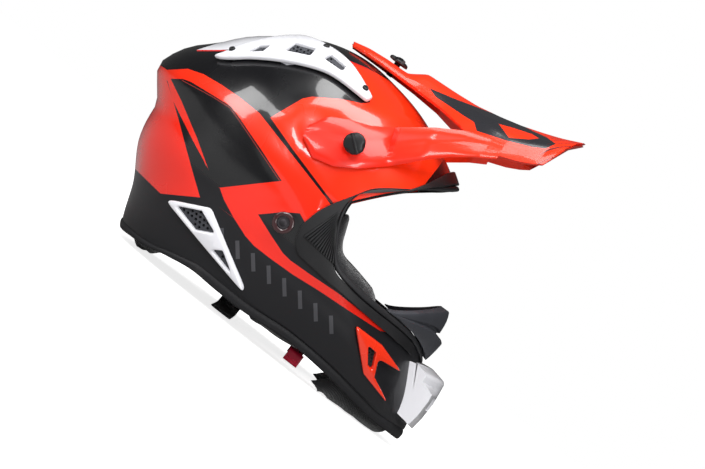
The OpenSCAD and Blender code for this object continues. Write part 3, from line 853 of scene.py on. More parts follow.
def peak_paint():
    n = Nodes("peak_paint")
    p = side_view(n)
    normal = n.t.nodes.new("ShaderNodeNewGeometry").outputs["Normal"]
    rise = n.dot(normal, (0, 0, 1))
    up = n.ramp(rise, 0.15, 0.2)
    panel = both(n, region(n, p, PEAK_PANEL), up)
    bright = both(n, region(n, p, PEAK_FLASH), up)
    hatch = n.math("FRACT", n.mul(n.math("MULTIPLY_ADD", n.x, 0.7, n.y), 150.0))
    bars = both(n, n.ramp(hatch, 0.78, 0.84),
                both(n, n.ramp(n.y, -0.118, -0.119), n.ramp(n.y, -0.143, -0.142)))
    bars = both(n, bars, up)
    panel = both(n, panel, neg(n, bright))
    # Painted shade: the peak's red turns darker towards its lower parts.
    c = n.mix(n.ramp(n.z, 0.15, 0.27), SHADED_RED, RED)
    c = n.mix(panel, c, (0.022, 0.022, 0.026))
    c = n.mix(n.mul(bars, 0.85), c, (0.05, 0.02, 0.02))
    # Painted shade: faces turned downwards, under the peak, are drawn a quarter of the way to a darker red.
    c = n.mix(n.mul(n.ramp(rise, -0.35, -0.5), 0.25), c, (0.55, 0.02, 0.01))
    n.set(Base_Color=n.mix(n.mul(worn_edges(n), 0.3), c, (0.35, 0.2, 0.18)))
    coat(n, 0.3)
    n.set(Coat_Weight=0.35, Specular_IOR_Level=0.3)
    return n.mat


M = {
    "shell": shell_paint(),
    "peak": peak_paint(),
    "white": gloss_plastic("vent_white", WHITE, 0.18),
    "orange": gloss_plastic("chin_orange", RED, 0.22),
    "bezel": soft_plastic("bezel_black", (0.022, 0.02, 0.021), 0.38, 900, 0.00003),
    "panel": soft_plastic("panel_black", (0.006, 0.006, 0.007), 0.55, 1500, 0.00005),
    "guard": soft_plastic("guard_grey", (0.04, 0.042, 0.05), 0.5, 1300, 0.00005),
    "gasket": rubber("gasket_rubber", (0.02, 0.02, 0.022), 0.55),
    "trim": rubber("trim_rubber", (0.018, 0.018, 0.02), 0.62),
    "mesh": soft_plastic("mesh_black", (0.006, 0.006, 0.007), 0.45, 1100),
    "foam": foam("bead_foam", (0.035, 0.035, 0.038)),
    "fabric": fabric("lining_fabric", (0.028, 0.028, 0.031), 1.3),
    "fabric2": fabric("lining_mesh", (0.05, 0.05, 0.055), 2.4, 0.0006),
    "web": webbing("webbing", (0.02, 0.02, 0.022)),
    "steel": metal("ring_steel", (0.72, 0.73, 0.75), 0.24),
    "screw": soft_plastic("screw_black", (0.008, 0.008, 0.009), 0.42, 1200, 0.00004),
    "tab": soft_plastic("tab_red", (0.42, 0.005, 0.03), 0.35, 900, 0.00003),
    "snap": soft_plastic("snap_grey", (0.2, 0.2, 0.21), 0.4, 900, 0.00003),
    "anchor_ring": gloss_plastic("anchor_rose", (0.035, 0.004, 0.006), 0.3),
    "anchor_cap": metal("anchor_steel", (0.06, 0.055, 0.06), 0.45),
}


def finish_piece(o, mat, slot, *nodes, pad=None):
    """Gives a piece its material and body, and hides the CAD nodes that it stands for. The slot argument is not
    used.
    """
    if mat is not None:
        o.data.materials.clear()
        o.data.materials.append(M[mat])
    body = next(b for b, m in frame["record"]["behaviour"]["bodies"].items() if nodes[0] in m)
    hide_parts(*nodes)
    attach(o, body)


# ---------------------------------------------------------------- shell
FACETS = [([(78, 156.5), (72, 171), (66, 186), (61, 192), (40, 206), (24, 214), (-20, 232), (-70, 228),
            (-70, 128),
            (0, 134)], 1.6, 2.5),
          ([(57, 168), (43, 155), (-16, 177), (-24, 200), (11, 195), (36, 189.5), (55, 174)], -1.6, 2.2),
          ([(36.7, 190), (10.9, 207.2), (-12.6, 218.7), (-45, 224), (-45, 196), (-24, 200), (11, 195)],
           -0.9, 2.5),
          ([(185, 133), (152, 117), (118, 91), (84, 66), (112, 45), (149, 50), (185, 60)], 1.2, 5.0),
          ([(181, 134), (172, 135), (159, 146), (145, 150.5), (128, 153), (110, 154), (87, 153.6), (2, 132),
            (-10, 100),
            (37, 120), (68, 130), (97, 139.6), (110, 143), (128, 141.4), (150, 138.8), (165, 130)], 0.9, 2.2),
          ([(30, 62), (-60, 56), (-110, 48), (-150, 46), (-150, 12), (-60, 12), (30, 22)], 1.1, 6.0)]


def facet_height(pts):
    """How far the pressed facets stand out at points of the shell, in millimetres."""
    w = np.abs(pts[:, 0])
    far, ey, ez = EYE_MM
    scale = far / (far - w)
    q = np.stack([(pts[:, 1] - ey) * scale + ey, (pts[:, 2] - ez) * scale + ez], 1)
    h = np.zeros(len(pts))
    fade = smooth01((w - 30) / 35)
    for poly, amount, soft in FACETS:
        d = edge_distance(poly, q) * np.where(inside(poly, q), 1, -1)
        h += amount * smooth01(d / soft * 0.5 + 0.5) * fade
    return h


def make_shell():
    nu, nv = 330, 112
    U, V = np.meshgrid(np.linspace(0, 28, nu, endpoint=False), np.linspace(0, 1, nv), indexing="ij")
    d = heading(U, V)
    h = facet_height(surf(d, 0.0).reshape(-1, 3)).reshape(nu, nv)
    outer = surf(d, h * smooth01(np.minimum(V, 1 - V) / 0.04) - 0.25)
    inner = surf(d, -SHELL_T)
    return sharpen(loft("shell", np.concatenate([outer, inner[:, ::-1]], 1), True), 40)


finish_piece(make_shell(), "shell", "gloss_orange", "outer_shell")


# ---------------------------------------------------------------- rubber edges
def strip_skin(name, v_of, o0, o1, unit_of, r, steps, from_base=False, u0=0.0, u1=28.0, closed=True, nv=4):
    """A rounded strip along an edge. v_of gives its two sides in millimetres, which unit_of turns into v."""
    us = np.linspace(u0, u1, steps, endpoint=not closed)
    P = np.array([round_loop(a, b, o0, o1, min(r, (b - a) * 0.45), min(r, (o1 - o0) * 0.45), nv)
                  for a, b in map(v_of, us)])
    v = (1 if from_base else 0) + P[..., 0] * unit_of(us)[:, None]
    return sharpen(loft(name, carried(us, v, P[..., 1]), closed), 50)


gasket = strip_skin("gasket", lambda u: (-4.4, -0.2), -5.5, 2.4, per_a, 1.9, steps=260)
finish_piece(gasket, "gasket", "gasket_rubber", "eyeport_gasket")
trim = strip_skin("trim_roll", lambda u: (0.3, 9.6), -7.6, 1.2, per_b, 3.2, from_base=True, steps=260)
finish_piece(trim, "trim", "trim_rubber", "base_trim")
bezel = strip_skin("brow", lambda u: (0.5, 12.6 - abs(u) / 2), 0.6, 3.5, per_a, 0.9, u0=-4.05, u1=4.05,
                   closed=False,
                   steps=90, nv=8)
finish_piece(bezel, "bezel", "matte_black", "brow_bezel")
PANEL_U = [0, 3.9, 4.15, 4.6, 5.2, 5.7, 6, 6.4, 6.8, 7.2, 7.6, 8, 8.4, 8.8, 9.2, 10, 11.2, 12.2]
PANEL_W = [10, 14, 21, 33, 40, 40, 38, 34, 27, 21, 15.5, 11.8, 9.2, 7.8, 7, 7, 8, 7.5]
SIDES = ((1, "left"), (-1, "right"))
for s, tag in SIDES:
    us0, us1 = sorted((s * 4.1, s * 12.2))
    o = strip_skin("panel_" + tag, lambda u: (0.6, float(np.interp(abs(u), PANEL_U, PANEL_W))), 0.3, 2.6,
                   per_a, 0.8,
                   u0=us0, u1=us1, closed=False, steps=110, nv=10)
    finish_piece(o, "panel", "matte_black", "side_panel_" + tag)

# ---------------------------------------------------------------- ribbed pads beside the eye port
for s, tag in SIDES:
    ribs = []
    for k in range(13):
        a = k / 13 + 0.01
        b = a + 0.045
        q = [[-7 - 33 * a, 96 - 3 * a], [-7 - 33 * b, 96 - 3 * b], [-17 - 10 * b, 128 - 16 * b],
             [-17 - 10 * a, 128 - 16 * a]]
        ribs.append(plate("rib", fillet(q, 0.5, 2), [], s, 2.2, 4.3, 0.45, 6))
        ribs[-1].data.materials.append(M["screw"])
    finish_piece(join("ribs_" + tag, ribs), "screw", "matte_black", "rib_pad_" + tag)


# ---------------------------------------------------------------- nose guard
def hump(u, w, p):
    """1 at the middle of the chin, falling to 0 at w to either side."""
    return max(0.0, 1 - (abs(u - 14) / w) ** 2) ** p


def make_guard():
    us = np.linspace(10.4, 17.6, 110)
    rows = []
    for u in us:
        k = float(per_a(u))
        a, b = -(6 + 44 * hump(u, 3.7, 1.6)) * k, -5.3 * k
        top = 1 + 3 * hump(u, 3, 1)
        lip = hump(u, 3.3, 1.3)
        prof = []
        for t in (0, 0.06, 0.16, 0.26, 0.36, 0.44, 0.48, 0.50, 0.54, 0.57, 0.60, 0.70, 0.80, 0.90, 1):
            out = 0.0 if t < 0.48 else (-2.6 if t < 0.56 else 6.5 * (1 - 0.7 * ((t - 0.57) / 0.43) ** 1.4))
            prof.append((a + (b - a) * t, top - 1.1 * (2 * t - 1) ** 6 + out * lip))
        for t in np.linspace(1, 0, 13):
            prof.append((a + (b - a) * t, -4 + 0.5 * (2 * t - 1) ** 6))
        rows.append(prof)
    P = np.array(rows)
    pts = surf(heading(np.repeat(us[:, None], P.shape[1], 1), P[..., 0]), P[..., 1])
    return sharpen(loft("guard", pts), 45)


finish_piece(make_guard(), "guard", "grey_plastic", "nose_guard")


# ---------------------------------------------------------------- chin piece
MOUTH_W = 37.0
WINDOW_X, WINDOW_Z = 14.5, 48
MOUTH_P = [(-151, 69.5), (-162, 73), (-178, 70), (-180.8, 50), (-180.8, 34), (-179.5, 22), (-170.5, 24.5),
           (-157, 57)]


def mouth_pt(q, x):
    """The housing's profile q, bent back and lowered at x."""
    k = (abs(x) / MOUTH_W) ** 1.6
    front = np.clip((-q[..., 0] - 160) / 4, 0, 1) * np.clip((q[..., 1] - 58) / 4, 0, 1)
    rear = np.clip((q[..., 0] + 176) / 5, 0, 1) * (1 - front)
    y = q[..., 0] + 12 * k * front + 6.5 * k + 5 * k * rear
    z = 22 + (q[..., 1] - 22) * (1 - 0.1 * k) + 2 * k
    return np.stack([np.full(y.shape, float(x)), y, z], -1)


def make_mouth():
    prof = fillet(MOUTH_P, [2.5, 4, 5, 9, 6, 1.2, 1.2, 6], 5)
    prof = prof[np.insert(np.linalg.norm(np.diff(prof, axis=0), axis=1) > 0.05, 0, True)]
    dens = []
    for a, b in zip(prof, np.roll(prof, -1, 0)):
        m = max(1, int(np.linalg.norm(b - a) / 2.2))
        dens += [a + (b - a) * t / m for t in range(m)]
    dens = np.array(dens)
    o = loft("mouth", [mouth_pt(dens, x) for x in np.linspace(-MOUTH_W, MOUTH_W, 55)])
    window = fillet([(-11, -6.5), (11, -6.5), (11, 6.5), (-11, 6.5)], 2.4, 5)
    for s in (-1, 1):
        punch(o, *[[(s * WINDOW_X + a * s, y, WINDOW_Z + b) for a, b in window] for y in (-200, -140)])
    return sharpen(o, 40)


finish_piece(make_mouth(), "white", "gloss_white", "mouth_vent")


def grille(x0, x1, z0, z1, y, nx, nz):
    """A moulded grille of rounded bars in a rim."""
    xm, zm, r = (x0 + x1) / 2, (z0 + z1) / 2, 0.55
    parts = []
    for x in (x0 + (x1 - x0) * (i + 0.5) / nx for i in range(nx)):
        parts.append(tube("bar", [(x, y, z0), (x, y, zm), (x, y, z1)], r, 8))
    for z in (z0 + (z1 - z0) * (j + 0.5) / nz for j in range(nz)):
        parts.append(tube("bar", [(x0, y, z), (xm, y, z), (x1, y, z)], r, 8))
    parts.append(tube("rim", [(x0, y, z0), (x1, y, z0), (x1, y, z1), (x0, y, z1)], 0.9, 8, closed=True))
    return join("grille", parts)


grilles = [grille(s * WINDOW_X - 10.2, s * WINDOW_X + 10.2, 42.4, 53.6, -170, 8, 3) for s in (-1, 1)]
finish_piece(join("mouth_grille", grilles), "mesh", "mesh_black", "mouth_vent_mesh")


def holed(outline, s, o0, o1, pitch, r):
    """A thin plate with round holes over the side view."""
    lo, hi = np.min(outline, 0), np.max(outline, 0)
    ring = [(r * math.cos(k * math.pi / 5), r * math.sin(k * math.pi / 5)) for k in range(10)]
    holes = []
    for j, z in enumerate(np.arange(lo[1], hi[1], pitch * 0.87), 1):
        for y in np.arange(lo[0] + (j % 2) * pitch / 2, hi[0], pitch):
            at = np.array([[y, z]])
            if inside(outline, at)[0] and edge_distance(outline, at)[0] > r + 0.7:
                holes.append([(y + a, z + b) for a, b in ring])
    return plate("m", outline, holes, s, o0, o1, 0.2, 6)


# ---------------------------------------------------------------- vents on the sides, crown and rear
VENT_A = [(-84, 65), (-113, 38), (-147, 29), (-122, 41), (-115, 55), (-138, 57), (-112, 65)]
VENT_A_W = [(-101, 59), (-110, 58), (-117, 44), (-111, 46)]
CROWN_LO = [(138, 165), (126, 174), (116, 182), (99, 193), (80, 203), (62, 210), (48, 212), (30, 212),
            (21, 212.5)]
CROWN_UP = [(139, 167), (134, 176), (129, 186), (113, 207), (97, 222), (82, 228), (62, 230), (44, 227.5),
            (21, 218)]
CROWN_WIN = [[(121, 183), (110, 192), (108, 200), (116, 194)], [(97, 203), (78, 212), (78, 220), (95, 214)],
             [(68, 217), (50, 218), (50, 223), (66, 224)]]
SCREWS = [(130, 178), (72.5, 226), (27, 217.5)]
REAR_P = [(99, 51), (65, 68), (-3, 30)]
REAR_WIN = [[(88, 52.5), (68, 62.5), (49, 55), (64, 47)], [(44, 43), (36, 48), (17, 36.5)]]
CROWN_OUT = [(138.5, 165.5)] + CROWN_LO[1:-1] + [(21, 212), (18.5, 215.2), (21, 218.2)] + CROWN_UP[-2:0:-1]


def shrink(p, k):
    """The polygon scaled by k about its middle."""
    p = np.asarray(p, float)
    return p.mean(0) + (p - p.mean(0)) * k


# name, slot, outline, windows, their corner radius, offsets, bevel, grid and crown of each vent;
# then its mesh: growth past the window, offsets, pitch and radius of the holes
VENTS = [("chin_vent_%s_shell", "orange", "chin_orange", "chin_vent_",
          fillet(VENT_A, [2, 2, 1, 2, 3, 1, 3], 4), [VENT_A_W],
          (1.2, 3), (0.5, 3.9, 0.9, 3.0, 0.9), (1.12, 0.4, 1.3, 3.0, 0.95)),
         ("crown_cowl_%s", "white", "gloss_white", "crown_vent_", catmull(CROWN_OUT, 3), CROWN_WIN,
          (1.6, 4), (0.7, 5.3, 1.6, 3.5, 1.0), (1.14, 0.3, 2.6, 3.4, 1.05)),
         ("rear_cowl_%s", "white", "gloss_white", "rear_vent_", fillet(REAR_P, [3, 6, 2.5], 6), REAR_WIN,
          (1.6, 4), (0.4, 4.7, 1.4, 3.5, 1.2), (1.12, 0.3, 2.2, 4.1, 1.25))]
meshes = [[], [], []]
for s, tag in SIDES:
    for found, (name, mat, slot, node, outline, windows, corner, size, (grow, *hole)) in zip(meshes, VENTS):
        o = plate(name % tag, outline, [fillet(w, *corner) for w in windows], s, *size)
        finish_piece(o, mat, slot, node + tag)
        found += [holed(shrink(w, grow), s, *hole) for w in windows]
for found, name, mat in zip(meshes, ("chin", "crown", "rear"), ("mesh", "guard", "guard")):
    finish_piece(join(name + "_holes", found), mat, "mesh_black", name + "_vent_mesh")


# ---------------------------------------------------------------- screws
def stand(p, n, spin=0.0):
    """A matrix that stands local Z along n at the point p, given in millimetres, turned by spin."""
    q = Vector((0, 0, 1)).rotation_difference(Vector(n))
    return Matrix.Translation(Vector(p) * 0.001) @ q.to_matrix().to_4x4() @ Matrix.Rotation(spin, 4, "Z")


def small_screw(y, z, s):
    prof = [(0, 0.7), (0.9, 0.7), (1.15, 0.9), (1.3, 1.75), (1.5, 1.95), (2.2, 1.85), (2.6, 1.3), (2.75, 0.4),
            (2.8, -0.4), (0, -0.4)]
    return lathe("screw", prof, 36, stand(onto(y, z, s, 5.6), normal_at(y, z, s)))


screws = [small_screw(y, z, s) for s in (-1, 1) for y, z in SCREWS]
finish_piece(join("cowl_screws", screws), "screw", "screw_black", "crown_vent_screws")


def thumb(name, centre, axis, spin, node):
    """A thumb screw: a scalloped head with a raised blade across it and a threaded shank."""
    h, r = 5.5, 9.3

    def scallop(a, rr, hh):
        k = smooth01((rr - 0.45 * r) / (0.45 * r)) if hh > 0.3 else 0
        return 1 - 0.16 * k * max(0.0, math.cos(3 * a)) ** 2.2
    prof = [(0, h * 0.72), (r * 0.3, h * 0.72), (r * 0.62, h * 0.66), (r * 0.86, h * 0.58),
            (r * 0.97, h * 0.42),
            (r, h * 0.2), (r * 0.96, 0.05 * h), (r * 0.9, 0), (r * 0.4, 0), (3, -0.3)]
    zz = -0.6
    while zz > -13.0:
        prof += [(3.0, zz), (2.68, zz - 0.4)]
        zz -= 0.8
    prof += [(2.4, -13.3), (0, -13.3)]
    rows = []
    for t in np.linspace(-1, 1, 41):
        w = 1.35 * (1 - 0.25 * t * t) + 0.5 * smooth01((abs(t) - 0.75) / 0.25)
        top = h * (1.0 - 0.16 * t * t)
        ring = [squarish(a, 0.5) for a in np.linspace(0, 2 * math.pi, 16, endpoint=False)]
        rows.append([(t * r * 0.93, c * w, (top + 0.25 * h) / 2 + e * (top - 0.25 * h) / 2) for c, e in ring])
    o = sharpen(join(name, [lathe("head", prof, 120, None, scallop), loft("blade", rows)]), 40)
    o.data.transform(stand(centre, axis, spin))
    finish_piece(o, "screw", "screw_black", node)


PIVOT = (6.0, 180.0)
thumb("knob_left", (128.2, *PIVOT), (1, 0, 0), 0.9, "side_screw_left")
thumb("knob_right", (-128.2, *PIVOT), (-1, 0, 0), 0.9, "side_screw_right")
thumb("knob_centre", (0, 21, 259.4), (0, 0, 1), 0.4, "centre_screw")

# ---------------------------------------------------------------- strap anchors, straps and rings
anchors = []
for s in (-1, 1):
    x = float(sx(12, 94)) + 0.4
    m = stand((s * x, 12, 94), (s, 0, 0))
    ring = lathe("a", [(5.4, 0.9), (5.5, 2.1), (5.9, 2.4), (8.2, 2.4), (8.9, 1.9), (9, 0.2), (5.2, 0.2)],
                 64, m)
    ring.data.materials.append(M["anchor_ring"])
    cap = lathe("b",
                [(0, 1.7), (2.0, 1.75), (2.6, 1.35), (4.4, 1.3), (5.2, 1.6), (5.38, 1.2), (5.4, 0.2),
                 (0, 0.2)], 64, m)
    cap.data.materials.append(M["anchor_cap"])
    anchors += [ring, cap]
finish_piece(join("anchor_caps", anchors), None, "steel", "anchor_rings")

# the straps' place across at the anchors, and the middle of the loop that holds the rings
SX, RX, RY, RZ = 104.0, -104 + 9.6, 9.0, 42.6


def strap(name, path):
    p = catmull([(x, RY, z) for x, z in path], 6, closed=False)
    return tube(name, p, 0, 36, flat=(10.0, 1.0))


left = strap("webbing_left",
             [(SX, 88), (SX - 1, 76), (SX - 6, 50), (SX - 12, 28), (SX - 21, 13), (SX - 34, 5),
                              (SX - 52, 2.6), (SX - 110, 2.4), (SX - 150, 2.6)])
finish_piece(left, "web", "webbing", "strap_left")
right = strap("webbing_right", [(-SX, 88), (-SX + 1, 76), (-SX + 6, 56), (-SX + 9, 46)])
turn = np.linspace(0, 2 * math.pi, 40, endpoint=False)
eye = tube("eye", [(RX + 3.4 * math.cos(a), RY, RZ + 3.4 * math.sin(a)) for a in turn], 0, 36,
           flat=(10, 0.75), closed=True)
finish_piece(join("webbing_right", [right, eye]), "web", "webbing", "strap_right")


def d_ring(name, x, half, node):
    leg = 5
    pts = [(x, RY + half * (1 - 2 * t), RZ) for t in np.linspace(0.04, 0.96, 14)]
    pts += [(x, RY - half, RZ - leg * t) for t in np.linspace(0.25, 1, 5)]
    turn = np.linspace(0.1, math.pi - 0.1, 30)
    pts += [(x, RY - half * math.cos(a), RZ - leg - half * math.sin(a)) for a in turn]
    pts += [(x, RY + half, RZ - leg * t) for t in np.linspace(1, 0.25, 5)]
    finish_piece(tube(name, catmull(pts, 2), 1.1, 14, closed=True, up=(1, 0, 0)), "steel", "steel", node)


d_ring("d_ring_a", RX - 1.25, 12.2, "ring_keeper")
d_ring("d_ring_b", RX + 1.25, 14.7, "ring_free")

# ---------------------------------------------------------------- peak
PEAK_S = np.array([[62, 60, 251, 12, 249.5, 13, 248.6], [48, 47, 254.5, 18, 251.5, 20, 249.4],
                   [30, 30, 256.5, 22, 253.5, 25, 250], [9, 9, 257.5, 26, 254, 29, 250.4],
                   [-5, -5, 268, 29, 256, 32, 250.6], [-31, -31, 270, 40, 257, 46, 250],
                   [-55, -53, 272, 60, 257, 68, 247], [-77, -75, 277, 77, 260, 88, 240],
                   [-95, -93, 282, 82, 265, 93, 246], [-112, -108, 288, 84, 272, 94, 252],
                   [-130, -119, 295, 82, 279, 94, 258], [-147, -126, 303, 70, 287, 92, 263]], float)
ARM_S = np.array([[45, 168, 42, 158, 0, 0], [37, 184, 26, 150, 0, 0], [22, 193, 8, 155, 0, 0],
                  [5, 200, -9, 166, 0, 0],
                  [-15, 214, -27, 183, 106, 106], [-38, 232, -45, 203, 99, 104], [-60, 246, -63, 221, 87, 96],
                  [-78, 254, -80, 234, 80, 90], [-90, 257, -93, 242, 83.5, 91]], float)
PEAK_T = 2.6


def peak_row(q, xs):
    """Across one station: ridge, shoulder, rim and skirt."""
    rx = np.array([0, 0.4 * q[3], 0.75 * q[3], q[3], q[5]])
    rz = np.array([q[2], q[2] - 0.1 * (q[2] - q[4]), q[2] - 0.45 * (q[2] - q[4]), q[4], q[6]])
    ax = np.abs(xs) * q[5]
    z = np.interp(ax, rx, rz)
    y = q[0] + (q[1] - q[0]) * np.abs(xs) ** 1.7
    return np.stack([np.sign(xs) * ax, y, z], -1)


def dense_rows(table, n):
    """Stations between the given ones, straight from one to the next so that the creases stay."""
    rows = []
    for a, b in zip(table[:-1], table[1:]):
        rows += [a + (b - a) * k / n for k in range(n)]
    return np.array(rows + [table[-1]])


def relax(p):
    """Each inner point drawn half way to the middle of its four neighbours."""
    q = p.copy()
    q[1:-1, 1:-1] = (p[1:-1, 1:-1] * 4 + p[:-2, 1:-1] + p[2:, 1:-1] + p[1:-1, :-2] + p[1:-1, 2:]) / 8
    return q


def make_tongue():
    xs = np.concatenate([-(np.linspace(1, 0, 30) ** 0.9), (np.linspace(0, 1, 30) ** 0.9)[1:]])
    top = relax(relax(np.array([peak_row(q, xs) for q in dense_rows(PEAK_S, 7)])))
    y, x = top[..., 1], np.abs(top[..., 0])
    # a raised rib along each side of the black panel, and a low spine down the middle
    wing = -0.78 * y + 13.5
    rib = np.exp(-((x - np.minimum(wing,
                                   72) - 2) / 3.0) ** 2) * smooth01((-y - 12) / 20) * smooth01((132 + y) / 20)
    spine = np.exp(-(x / 7.0) ** 2) * smooth01((-y - 30) / 30)
    top[..., 2] += 1.0 * rib + 0.7 * spine * smooth01((140 + y) / 20)
    low = top + unit(np.stack([-top[..., 0], 0 * y, 190 - top[..., 2]], -1)) * PEAK_T
    o = loft("tongue", np.concatenate([top, low[:, ::-1]], 1))
    slot = [(3.6 * math.cos(a), 21 + 3.6 * math.sin(a) + (12 if math.sin(a) > 0 else -9))
            for a in (2 * math.pi * k / 40 for k in range(40))]
    punch(o, *[[(x, y, z) for x, y in slot] for z in (225, 290)])
    bake(sharpen(o, 28), "BEVEL", width=0.0007, segments=2, limit_method="ANGLE",
         angle_limit=math.radians(55))
    return sharpen(o, 30)


def make_arm(s):
    t = np.linspace(0, 1, 14)
    edge_round = 1 - (2 * t - 1) ** 8
    groove = -0.8 * np.exp(-((t - 0.36) / 0.06) ** 2) + 0.5 * np.exp(-((t - 0.75) / 0.2) ** 2)
    rows = []
    for q in dense_rows(ARM_S, 6):
        yy, zz = q[0] + (q[2] - q[0]) * t, q[1] + (q[3] - q[1]) * t
        ax = np.maximum(q[4] + (q[5] - q[4]) * t, np.where(zz < 215, sx(yy, zz) + 3.2, 0))
        out = np.stack([s * (ax + PEAK_T * (0.35 + 0.65 * edge_round) + 0.4 + groove * 0.8), yy, zz], -1)
        back = np.stack([s * (ax + 0.0), yy, zz], -1)
        rows.append(np.vstack([out, back[::-1]]))
    return sharpen(loft("arm", rows), 28)


def make_peak():
    boss = [(3.05, 0), (8.4, 0), (9, 0.6), (9, 9.2), (8.4, 9.8), (3.9, 9.8), (3.2, 9.3), (3.05, 8.8)]
    parts = [make_tongue()]
    for s in (-1, 1):
        parts.append(make_arm(s))
        parts.append(sharpen(lathe("boss", boss, 72, stand((s * 117.2, *PIVOT), (s, 0, 0))), 28))
    return join("visor", parts)


finish_piece(make_peak(), "peak", "gloss_orange", "peak")


# ---------------------------------------------------------------- padding
SIM_FRAMES = 20


def puff(o, cap, pressure=4.0):
    """Blown up a little by cloth simulation, with every point's travel held under cap metres."""
    bake(o, "REMESH", mode="VOXEL", voxel_size=0.005)
    before = get_points(o.data)
    m = o.modifiers.new("Cloth", "CLOTH")
    m.settings.use_pressure = True
    m.settings.uniform_pressure_force = pressure
    m.settings.effector_weights.gravity = 0
    m.settings.quality = 5
    m.settings.tension_stiffness = 25
    m.settings.bending_stiffness = 2
    m.point_cache.frame_start, m.point_cache.frame_end = 1, SIM_FRAMES
    for f in range(1, SIM_FRAMES + 1):
        bpy.context.scene.frame_set(f)
    me = evaluated_mesh(o)
    move = get_points(me) - before
    o.modifiers.clear()
    bpy.data.meshes.remove(me)
    bpy.context.scene.frame_set(1)
    size = np.linalg.norm(move, axis=1, keepdims=True)
    set_points(o.data, before + move * np.minimum(1, cap / np.maximum(size, 1e-9)))
    bake(o, "SUBSURF", levels=1, render_levels=1)
    for p in o.data.polygons:
        p.use_smooth = True


def pull_in(o, test, amount, along):
    """Moves points in at a seam, by amount mm. test gives 0..1 for points in mm, along gives the way."""
    co = get_points(o.data) * 1000
    set_points(o.data, (co + test(co)[:, None] * amount * along(co)) * 0.001)


def cushion(name, u_end, n, v0, v1, o0, o1, edge):
    """A padded sheet inside the shell, thick in the middle and thin at its rim. v0 and v1 give its sides as
    (edge, millimetres inwards from it): edge 0 is the eye port's and edge 1 the base's."""
    us = np.linspace(*u_end, n)
    ts = np.linspace(0, 1, 26)
    rows = []
    for i, u in enumerate(us):
        a, b = [(1 - m * float(per_b(u))) if base else m * float(per_a(u)) for base, m in (v0, v1)]
        end = min(i, n - 1 - i) / (n - 1)
        body = (1 - (2 * ts - 1) ** 6) * (smooth01(end / 0.06) * 0.8 + 0.2)
        v = a + (b - a) * ts
        lower = np.stack([v, o1 - (1 - body) * (o1 - o0) * edge * 0.4], -1)
        upper = np.stack([v, o0 + (1 - body) * (o1 - o0) * edge], -1)
        rows.append(np.vstack([lower, upper[::-1]]))
    P = np.array(rows)
    return loft(name, carried(us, P[..., 0], P[..., 1]))


liner = cushion("bead_liner", (-3.75, 3.75), 90, (0, 5), (1, 22), -32, -7.4, 0.12)
finish_piece(liner, "foam", "impact_foam", "impact_liner")
chin = cushion("bead_chin", (10.8, 17.2), 60, (0, 4), (1, 14), -22, -6.2, 0.15)
finish_piece(chin, "foam", "impact_foam", "chin_foam")
comfort = cushion("comfort_pad", (-3.6, 3.6), 80, (0, 8), (1, 36), -44.5, -37.6, 0.4)
puff(comfort, 0.0018, 2.0)
# channels every 30 degrees across the crown
pull_in(comfort,
        lambda p: np.exp(-((np.mod(np.degrees(np.arctan2(p[:, 0], p[:, 2] - C_Z)) + 15,
                                   30) - 15) / 1.6) ** 2),
        2.2, lambda p: unit(p - CENTRE))
finish_piece(comfort, "fabric2", "lining_fabric", "comfort_liner", pad=0.6)
neck = cushion("neck_pad", (-3.85, 3.85), 80, (1, 19), (1, -55), -29.5, -11, 0.4)
puff(neck, 0.003)
pull_in(neck, lambda p: np.exp(-((p[:, 2] - 22) / 1.6) ** 2), 2.0,
        lambda p: unit((CENTRE - p) * np.array([-1, -1, 0]) + 1e-6))
finish_piece(neck, "fabric", "lining_fabric", "neck_roll", pad=0.7)
curtain = cushion("chin_pad", (11.1, 16.9), 60, (1, 10), (1, -42), -21, -10.5, 0.4)
puff(curtain, 0.002)
finish_piece(curtain, "fabric", "lining_fabric", "chin_curtain", pad=0.4)

PAD_O = np.array([(-11, 106), (-18, 122), (-23, 137), (-31, 121), (-40, 105), (-50, 102), (-73, 97),
                  (-88, 90), (-92, 60),
                  (-84, 26), (-50, 16), (-26, 15), (-9, 17), (-8, 60)], float)


def pad_x(y):
    """How far out the back of a cheek pad lies at y."""
    return sx(y, np.where(np.asarray(y) < -40, 26.0, 25.0)) - 11.5


def make_cheek(s, tag):
    out = catmull(PAD_O, 5)
    m = out.mean(0)
    rows = []
    for f, o in ((0.0, 0.8), (0.3, 0.8), (0.6, 0.8), (0.88, 1.0), (0.96, 3), (0.99, 7), (0.99, 14),
                 (0.97, 20),
                 (0.9, 26.5), (0.76, 31), (0.58, 33), (0.3, 33.8), (0.0, 34)):
        a = m + (out - m) * f
        rows.append(np.stack([s * (pad_x(a[:, 0]) - o), a[:, 0], a[:, 1]], -1))
    rows = np.array(rows)
    o = add_object("cheek_" + tag, rows.reshape(-1, 3), grid_faces(*rows.shape[:2], False, True))
    puff(o, 0.002, 3.0)

    def seam(p):
        a = edge_distance(m + (out - m) * 0.62, p[:, 1:])
        b = np.abs((p[:, 2] - 60) - 0.35 * (p[:, 1] + 50))
        face = smooth01((pad_x(p[:, 1]) - 20 - np.abs(p[:, 0])) / 6)
        return np.maximum(np.exp(-(a / 1.5) ** 2), np.exp(-(b / 1.5) ** 2)) * face
    pull_in(o, seam, 2.4, lambda p: np.array([s, 0.0, 0.0]))
    return o


